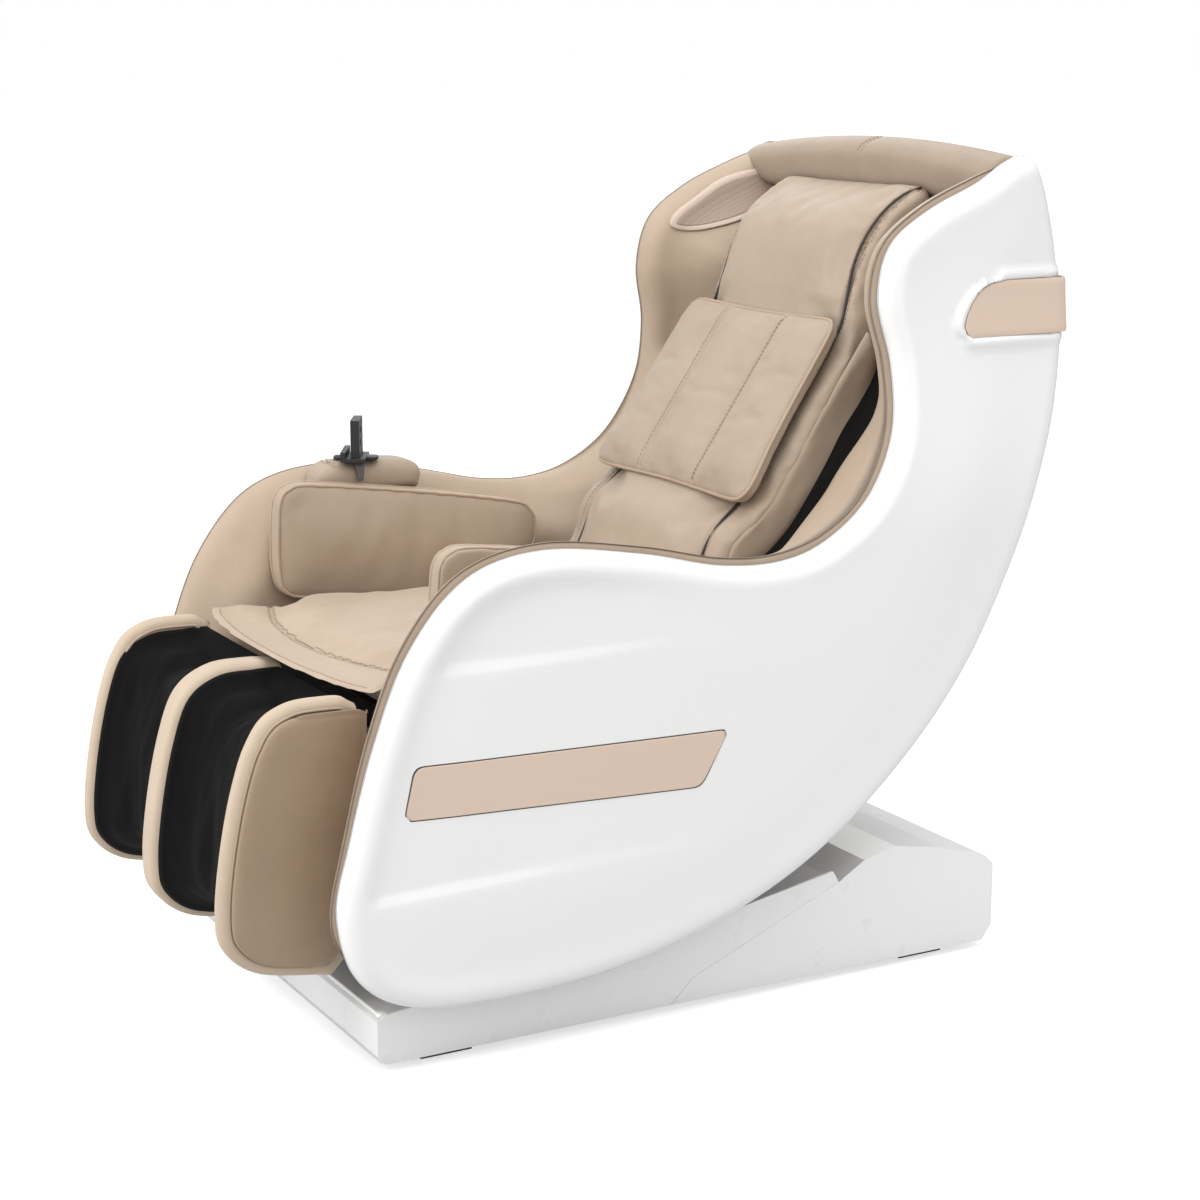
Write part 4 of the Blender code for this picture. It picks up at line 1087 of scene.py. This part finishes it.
def make_seat():
    """The seat cushion with its thin front flap, a cross seam and a hem."""
    half = 0.226
    outline = curve(mirrored([
        (0.0, -0.530), (0.100, -0.527), (0.200, -0.515), (0.262, -0.496), (0.262, -0.482), (0.232, -0.428),
        (half, -0.395), (half, -0.300), (half, -0.150), (half, -0.010), (0.210, 0.030), (0.160, 0.038),
        (0.0, 0.040)], 7), 6, True)
    front_seam = curve([(-0.229, -0.424), (-0.12, -0.459), (0.0, -0.472), (0.12, -0.459),
                        (0.229, -0.424)], 20)
    hem = curve([(-0.250, -0.490), (-0.196, -0.505), (-0.098, -0.517), (0.0, -0.520), (0.098, -0.517),
                 (0.196, -0.505), (0.250, -0.490)], 16)

    def front(points, depth):
        flap = ease((-0.415 - points[:, 1]) / 0.10)
        edge = 0.012 * (1 - flap) + 0.0020 * flap
        top = SEAT_TOP - 0.006 - 0.0035 * flap
        return top - edge * brink(depth, 0.020)

    def back(points, depth):
        bottom = FLAP_LOW - 0.0555 * ease((points[:, 1] + 0.455) / 0.04)
        return np.minimum(bottom, SEAT_TOP - 0.02)

    def hold(points):
        y, z = points[:, 1], points[:, 2]
        sewn = fade(distance(points[:, :2], front_seam), 0.003, 0.012) * (z > 0.466)
        return np.where((z < 0.455) | (y < -0.478), 1.0, sewn)

    def limit(points):
        flap = points[:, 1] < -0.47
        points[flap, 2] = np.maximum(points[flap, 2], FLAP_LOW - 0.0005)
        wide = 0.2325 + 0.034 * ease((-0.41 - points[:, 1]) / 0.05)
        points[:, 0] = np.clip(points[:, 0], -wide, wide)
        return points

    def on_top(path):
        return np.column_stack([path, np.full(len(path), SEAT_TOP)])

    obj = piece("seat_cushion", plate(outline, front, back, level, 0.016, 0.008), "seat",
                replaces=["seat_pad"])
    puff(obj, hold, pressure=4.0, voxel=0.0066, cap=0.016, slack=0.05, bend=0.6, even=4, limit=limit)
    crease_seat(obj.data, front_seam)
    seam_set("seat_stitching", obj, [on_top(front_seam)], "chair", 0.0050, 0.0026, 0.0034, 14)
    piece("seat_hem_stitching", stitches(*lay(skin(obj), on_top(hem))), "thread")


def crease_seat(mesh, seam):
    """Fine folds that run back from the seat's front edge, over a slow swell of the whole top."""
    co = coordinates(mesh)
    x, y = co[:, 0], co[:, 1] - SHIFT
    top = co[:, 2] > 0.470
    pull = wobble(np.stack([x, y * 0.28, y * 0], axis=1), 0.030, 5.0)
    fold = 0.0022 * pull * ease((-0.30 - y) / 0.14) * top
    fold += 0.0016 * wobble(np.stack([x, y, y * 0], axis=1), 0.075, 8.0) * top
    fold *= ease((distance(np.stack([x, y], axis=1), seam) - 0.003) / 0.020)
    co[:, 2] += np.where(y < -0.47, np.maximum(fold, 0), fold)
    mesh.vertices.foreach_set("co", co.ravel())
    mesh.update()


def make_valance():
    """Black fabric that closes the gap behind the seat."""
    outline = rounded([(-0.262, 0.425), (0.262, 0.425), (0.262, 0.500), (-0.262, 0.500)], 0.008)

    def front(points, depth):
        place = np.stack([points[:, 0], points[:, 1] * 0.3, depth * 0], axis=1)
        return 0.0418 + 0.0012 * wobble(place, 0.05, 4.0)

    def back(points, depth):
        return front(points, depth) + 0.0022

    form = plate(outline, front, back, lambda u, v, h: np.stack([u, h, v], axis=1), 0.003, 0.009)
    piece("seat_valance", form, "fabric")


ARM_OUTLINE = [
    (-0.400, 0.612), (-0.384, 0.629), (-0.350, 0.6315), (-0.200, 0.611), (-0.042, 0.583), (-0.012, 0.566),
    (-0.004, 0.545), (-0.010, 0.512), (-0.050, 0.466), (-0.085, 0.449), (-0.140, 0.4495), (-0.280, 0.463),
    (-0.372, 0.473), (-0.396, 0.485), (-0.404, 0.510), (-0.405, 0.560)]


def make_arm_pads():
    outline = curve(ARM_OUTLINE, 6, True)
    ring = inset(resample(outline, 0.006, True), 0.0035)
    outer = ARM_IN - 0.0006

    def front(points, depth):
        return 0.2435 - 0.0035 * roll(depth / 0.030) + 0.004 * brink(depth, 0.006)

    def back(points, depth):
        return outer - 0.003 * brink(depth, 0.006)

    for name, side in SIDES:
        form = plate(outline, front, back, flank(side), 0.012, 0.007)
        obj = piece("armrest_" + name, form, "leather", replaces=["arm_pad_" + name])

        def hold(points):
            x = points[:, 0] * side
            sewn = fade(distance(points[:, 1:], ring, True), 0.003, 0.007) * (x < 0.2500)
            return np.where(x > 0.2655, 1.0, sewn)

        def limit(points):
            points[:, 0] = side * np.clip(points[:, 0] * side, 0.2285, outer)
            return points

        puff(obj, hold, pressure=4.5, voxel=0.0052, cap=0.012, slack=0.02, bend=1.0, even=12, limit=limit)
        tree = skin(obj)
        cords = []
        for x, radius in ((0.2455, 0.0026), (0.2655, 0.0022)):
            cord, _ = lay(tree, upright(side * x, ring), 0.0002)
            cords.append(tube(cord, radius, True))
        piece("armrest_piping_" + name, merge(cords), "piping")


# ---- calf rest --------------------------------------------------------------------------------------
CALF = [
    (-0.560, 0.122), (-0.640, 0.138), (-0.681, 0.172), (-0.690, 0.215), (-0.682, 0.290), (-0.664, 0.372),
    (-0.640, 0.430), (-0.597, 0.457), (-0.545, 0.460), (-0.508, 0.456)]
CALF_BACK = [(-0.508, 0.400), (-0.560, 0.368)]
CALF_SIDE_BACK = [
    (-0.510, 0.400), (-0.512, 0.300), (-0.514, 0.220), (-0.526, 0.150), (-0.548, 0.124)]
CALF_RISE = 0.008
CALF_HALF = 0.262
DIVIDER = 0.026
MIDDLE_DIVIDER = 0.046
LEG_AXIS = (-0.545, 0.335)
CALF_STEP = 0.004


def make_divider(name, middle, side):
    """One padded divider with piping and stitching on both faces; the outer two have a cheek."""
    half = (DIVIDER if side else MIDDLE_DIVIDER) / 2
    front_line = curve(CALF, 8)
    if side:
        y, z = front_line.T
        front_line[:, 1] += CALF_RISE * ease((z - 0.42) / 0.03) * ease((-0.508 - y) / 0.02)
    outline = np.vstack([front_line, np.array(CALF_SIDE_BACK if side else CALF_BACK)])

    def face(direction):
        def height(points, depth):
            d = distance(points, front_line)
            swell = 0.0012 * ease(d / 0.05)
            return middle + direction * (half - 0.0118 * brink(d, 0.0125) - 0.0012 + swell)
        return height

    obj = piece("calf_bolster_" + name, plate(outline, face(1), face(-1), flank(1), 0.0125, 0.007), "strip",
                "legrest", ["calf_divider_" + name])
    tree = skin(obj)
    cords, threads = [], []
    for direction in (1, -1):
        x = middle + direction * half
        cord, _ = lay(tree, upright(x, inset(outline, 0.0135)[2:len(front_line) - 2]), -0.0006)
        cords.append(tube(cord, 0.0022))
        threads.append(stitches(*lay(tree, upright(x, inset(outline, 0.0200)[3:len(front_line) - 3]))))
    piece("calf_piping_" + name, merge(cords), "piping", "legrest")
    piece("calf_stitching_" + name, merge(threads), "thread", "legrest")
    if side:
        make_cheek(name, side, outline, front_line)


def make_cheek(name, side, outline, front_line):
    """The panel on the outside of an outer divider, with a faint boss on the calf rest's axis."""
    edge = inset(resample(outline, 0.006, True), 0.0150)
    rear = ease((edge[:, 0] + 0.545) / 0.020)
    edge[:, 0] += rear * (0.012 + 0.012 * ease((edge[:, 1] - 0.30) / 0.10))

    def boss(points):
        return fade(np.hypot(points[:, 0] - LEG_AXIS[0], points[:, 1] - LEG_AXIS[1]), 0.016, 0.030)

    def front(points, depth):
        return side * (0.2655 + 0.0048 * roll(depth / 0.014) + 0.0010 * boss(points))

    def back(points, depth):
        wall = fade(distance(points, front_line), 0.019, 0.004)
        wall *= np.maximum(fade(points[:, 1], 0.37, 0.03), fade(points[:, 0], -0.610, 0.03))
        return side * (0.2694 + 0.0009 * boss(points) - 0.0090 * wall)

    piece("calf_cheek_" + name, plate(edge, front, back, flank(1), 0.008, 0.008), "panel", "legrest")


def make_sleeves():
    """The two black troughs: hollow across, crumpled, and closed round their backs."""
    line = resample(curve(CALF, 8), CALF_STEP)
    out = normals(line)
    length = CALF_STEP * (len(line) - 1)
    marks = np.linspace(0, length, len(line))
    low, high = MIDDLE_DIVIDER / 2 - 0.001, CALF_HALF - DIVIDER + 0.001
    for name, side in SIDES:
        rings = []
        for u in np.linspace(low, high, 46):
            t = (u - low) / (high - low) * 2 - 1
            sink = 0.0010 + 0.036 * (1 - t ** 2) ** 0.8
            place = upright(side * u, line)
            fold = 0.0055 * wobble(place * np.array([1.3, 0.35, 0.35]), 0.042, 2.0 + side) * (1 - t ** 4)
            fold += 0.0024 * wobble(place * np.array([1.5, 0.5, 0.4]), 0.022, 6.0 + side) * (1 - t ** 4)
            deep = (sink + fold) * ease(marks / 0.03) * ease((length - marks) / 0.03) + 0.008
            face = line + out * deep[:, None]
            rear = np.stack([np.minimum(face[::-1, 0] + 0.03, -0.512), face[::-1, 1]], axis=1)
            rear[:, 0] = np.where(rear[:, 1] < 0.36, np.clip(rear[:, 0], -0.5615, -0.5605), rear[:, 0])
            rear = rear[(marks > 0.02) & (marks < length - 0.02)]
            rings.append(upright(side * u, np.vstack([face, rear])))
        piece("calf_sleeve_" + name, loft(rings), "fabric", "legrest", ["calf_trough_" + name])


def make_calf_rest():
    outer = CALF_HALF - DIVIDER / 2
    for name, middle, side in (("left", outer, 1), ("middle", 0.0, 0), ("right", -outer, -1)):
        make_divider(name, middle, side)
    make_sleeves()


# ---- rigid trim ---------------------------------------------------------------------------------------
def make_band():
    """The trim that wraps the back from side to side, with rounded front ends."""
    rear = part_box("rear_band")[1].y - SHIFT
    rows = np.linspace(BAND_LOW, BAND_HIGH, 17)
    inner, outer = [], []
    for z in rows:
        front_y = band_front(z)
        t = (z - BAND_LOW) / (BAND_HIGH - BAND_LOW)
        edge = 0.0012 * (1 - float(roll(min(t, 1 - t) / 0.04)))
        for store, grow in ((inner, -0.0012), (outer, 0.0026 - edge)):
            side_x = SHELL_X - float(taper(z)) + 0.0002
            path = [(side_x + grow * k, front_y + 0.0012 * (1 - k)) for k in (0.2, 1.0)]
            path += [(side_x + grow, y) for y in np.linspace(front_y + 0.006, rear - 0.028, 12)]
            for k in range(1, 9):
                turn = k * pi / 16
                path.append((side_x - 0.024 + (0.024 + grow) * cos(turn),
                             rear - 0.0213 + (0.018 + grow) * sin(turn)))
            path += [(x, rear - 0.0033 + grow) for x in np.linspace(side_x - 0.045, 0.0, 14)]
            path += [(-x, y) for x, y in reversed(path[:-1])]
            store.append(np.array([(x, y, z) for x, y in path]))
    count = len(inner[0])
    rings = [np.vstack([[inner[r][i] for r in range(len(rows))],
                        [outer[r][i] for r in reversed(range(len(rows)))]]) for i in range(count)]
    piece("band_trim", loft(rings), "rose", replaces=["rear_band"], angle=50)


POST = (-0.284, -0.266, 0.6545)
REMOTE_TURN = radians(-28.98)
POD = [
    (-0.331, 0.604), (-0.334, 0.622), (-0.330, 0.638), (-0.318, 0.6490), (-0.296, 0.6532), (-0.240, 0.6530),
    (-0.200, 0.6505), (-0.180, 0.6440), (-0.171, 0.6330), (-0.172, 0.6180), (-0.184, 0.606), (-0.250, 0.602)]


def make_housing():
    """The padded pod on the arm, sloping away to a rounded rear end, with a seam across its front."""
    low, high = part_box("remote_housing")
    outline = curve(POD, 6, True)

    def inner(points, depth):
        return high.x + 0.0035 - 0.016 * brink(depth, 0.020)

    def outer(points, depth):
        return low.x + 0.010 * brink(depth, 0.014)

    obj = piece("remote_housing_cover", plate(outline, inner, outer, flank(1), 0.020, 0.005), "leather",
                replaces=["remote_housing"])
    xs = np.linspace(low.x + 0.004, high.x + 0.002, 30)
    bow = 0.008 * np.cos((xs - xs.mean()) / (xs[-1] - xs[0]) * pi)
    seam = np.stack([xs, -0.302 - bow, np.full(len(xs), 0.6535)], axis=1)
    seam_set("remote_housing_stitching", obj, [seam], "chair", 0.0035, 0.0016, 0.0018)


def turned(across, out, z):
    """A place on the remote's holder, which is turned towards the sitter."""
    c, k = cos(REMOTE_TURN), sin(REMOTE_TURN)
    return POST[0] + across * c - out * k, POST[1] + across * k + out * c, z


def make_cradle():
    """The holder's winged tray and the slim tongue that hangs down the inside of the pod."""
    wing = rounded([(-0.011, -0.033), (0.011, -0.033), (0.013, 0.030), (-0.013, 0.030)], 0.009, 6)
    rings = []
    for z, shrink in ((0.6546, 0.0012), (0.6552, 0.0), (0.6580, 0.0), (0.6590, 0.0012)):
        ring = inset(wing, shrink)
        rings.append(np.array([turned(a, b, z) for a, b in ring]))
    piece("holder_tray", loft(rings), "black", "holder")
    slat = rounded([(-0.0020, -0.0065), (0.0020, -0.0065), (0.0020, 0.0065), (-0.0020, 0.0065)], 0.0016, 4)
    rings = []
    for k in range(12):
        t = k / 11
        z = 0.6541 - 0.0270 * t
        size = (1 - 0.35 * t) * (1.0 if k < 11 else 0.7)
        reach = 0.0150 + 0.0060 * float(ease(t * 3.5))
        rings.append(np.array([(POST[0] + reach + a * size, POST[1] - 0.004 + b * size, z) for a, b in slat]))
    piece("holder_tongue", loft(rings), "grey")


VENTS = 7
VENT_LOW = 0.505
VENT_PITCH = 0.013
VENT_HALF_HEIGHT = 0.0035
VENT_HALF_WIDTH = 0.085
BORDER_STEP = 0.0035


def make_back_cover():
    """The white rear cover: gently crowned between the shells, with a pressed border and vent slots."""
    low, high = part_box("back_shell")
    rear_line = curve([(z, y) for y, z in reversed(SHELL_EDGE[19:27])], 8)
    rows = np.linspace(low.z, high.z, 60)
    cols = np.linspace(-1, 1, 61)
    top, under = [], []
    for z in rows:
        half = SHELL_IN - 0.0026 - float(taper(z))
        rear = np.interp(z, rear_line[:, 0], rear_line[:, 1])
        slot = max(1 - abs(z - (VENT_LOW + VENT_PITCH * k)) / VENT_HALF_HEIGHT for k in range(VENTS))
        for t in cols:
            x = t * half
            border = min((1 - abs(t)) * half, z - low.z, high.z - z)
            press = BORDER_STEP * (1 + float(ease((border - 0.016) / 0.006)) - float(roll(border / 0.004)))
            y = rear - 0.0125 + 0.006 * (1 - t * t) - press
            if abs(x) < VENT_HALF_WIDTH:
                y -= 0.0045 * float(ease(slot * 1.6))
            top.append((x, y, z))
            under.append((x, rear - 0.0205, z))
    n, m = len(rows), len(cols)
    size = n * m
    faces = []
    for r in range(n - 1):
        for c in range(m - 1):
            a = r * m + c
            quad = (a, a + 1, a + m + 1, a + m)
            faces += [quad, tuple(size + i for i in reversed(quad))]
    rim = list(range(m)) + [r * m + m - 1 for r in range(1, n)]
    rim += [(n - 1) * m + c for c in range(m - 2, -1, -1)] + [r * m for r in range(n - 2, 0, -1)]
    for a, b in zip(rim, rim[1:] + rim[:1]):
        faces.append((a, b, size + b, size + a))
    piece("back_cover", (top + under, faces), "white", replaces=["back_shell"], angle=50)


def make_deck():
    """The moulded tray cover between the base's walls, under the sliding frame."""
    edge = rounded([(-0.2945, -0.5025), (0.2945, -0.5025), (0.2945, 0.0), (-0.2945, 0.0)], 0.006, 4)

    def top(points, depth):
        rib = np.abs(((points[:, 1] + 0.5) / 0.05) % 1 - 0.5)
        return 0.0748 - 0.0008 * brink(depth, 0.003) - 0.0006 * ease((0.06 - rib) / 0.03)

    def under(points, depth):
        return np.where(points[:, 1] < -0.4935, 0.058, 0.0724)

    piece("base_deck", plate(edge, top, under, level, 0.003, 0.010), "white", "base")


# ---- studio ---------------------------------------------------------------------------------------------
def make_studio():
    scene = bpy.context.scene
    scene.view_settings.view_transform = "Standard"
    scene.view_settings.look = "None"
    half = 60.0
    mesh = bpy.data.meshes.new("floor")
    mesh.from_pydata([(-half, -half, -0.0006), (half, -half, -0.0006), (half, half, -0.0006),
                      (-half, half, -0.0006)], [], [(0, 1, 2, 3)])
    floor = bpy.data.objects.new("floor", mesh)
    scene.collection.objects.link(floor)
    look = Look("studio_floor", (0.62, 0.62, 0.62), 0.60)
    look.tint(look.span(look.noise(2.0, 3.0), 0.3, 0.7, 0.0, 0.04), (0.60, 0.60, 0.60))
    material = look.done(Specular_IOR_Level=0.1, Emission_Color=(1.0, 1.0, 1.0, 1.0))
    tree = material.node_tree
    seen = tree.nodes.new("ShaderNodeLightPath")
    glow = tree.nodes.new("ShaderNodeMapRange")
    glow.inputs["To Max"].default_value = 0.66
    tree.links.new(seen.outputs["Is Camera Ray"], glow.inputs["Value"])
    shader = [node for node in tree.nodes if node.type == "BSDF_PRINCIPLED"][0]
    tree.links.new(glow.outputs[0], shader.inputs["Emission Strength"])
    floor.data.materials.append(material)

    world = bpy.data.worlds.new("studio")
    scene.world = world
    world.use_nodes = True
    back = world.node_tree.nodes["Background"]
    back.inputs[0].default_value = (1.0, 1.0, 1.0, 1.0)
    tree = world.node_tree
    place = tree.nodes.new("ShaderNodeTexCoord")
    parts = tree.nodes.new("ShaderNodeSeparateXYZ")
    sky = tree.nodes.new("ShaderNodeMapRange")
    sky.inputs["To Min"].default_value = 0.46
    sky.inputs["To Max"].default_value = 0.96
    path = tree.nodes.new("ShaderNodeLightPath")
    strength = tree.nodes.new("ShaderNodeMapRange")
    strength.inputs["To Max"].default_value = 1.0
    tree.links.new(place.outputs["Generated"], parts.inputs[0])
    tree.links.new(parts.outputs["Z"], sky.inputs["Value"])
    tree.links.new(sky.outputs[0], strength.inputs["To Min"])
    tree.links.new(path.outputs["Is Camera Ray"], strength.inputs["Value"])
    tree.links.new(strength.outputs[0], back.inputs[1])

    def area(name, place, target, size, power):
        light = bpy.data.lights.new(name, "AREA")
        light.shape = "RECTANGLE"
        light.size, light.size_y = size
        light.energy = power
        obj = bpy.data.objects.new(name, light)
        obj.location = place
        obj.rotation_euler = (Vector(target) - Vector(place)).to_track_quat("-Z", "Y").to_euler()
        scene.collection.objects.link(obj)

    area("key", (0.6, -3.2, 3.0), (0, 0, 0.5), (2.4, 1.8), 54)
    area("top", (0.9, 0.2, 3.6), (0.1, 0, 0.3), (3.0, 3.0), 53)
    area("side", (3.6, 0.8, 1.7), (0, 0, 0.5), (2.0, 2.4), 12)
    area("front", (-0.7, -3.4, 0.9), (0, -0.5, 0.25), (2.4, 1.2), 33)
    area("rim", (-2.6, 1.6, 2.4), (0, 0, 0.6), (1.6, 2.0), 16)

    camera_data = bpy.data.cameras.new("camera")
    camera_data.lens = 75
    camera_data.sensor_width = 36
    camera = bpy.data.objects.new("camera", camera_data)
    camera.location = (2.915, -1.648 + SHIFT, 1.2185)
    camera.rotation_euler = (pi / 2 - radians(12.47), 0, radians(61.02))
    scene.collection.objects.link(camera)
    scene.camera = camera


dress_frame()
make_shells()
make_liners()
make_hood()
make_pillow()
make_back_pad()
make_back_sides()
make_seat()
make_valance()
make_arm_pads()
make_calf_rest()
make_band()
make_housing()
make_cradle()
make_back_cover()
make_deck()
make_studio()
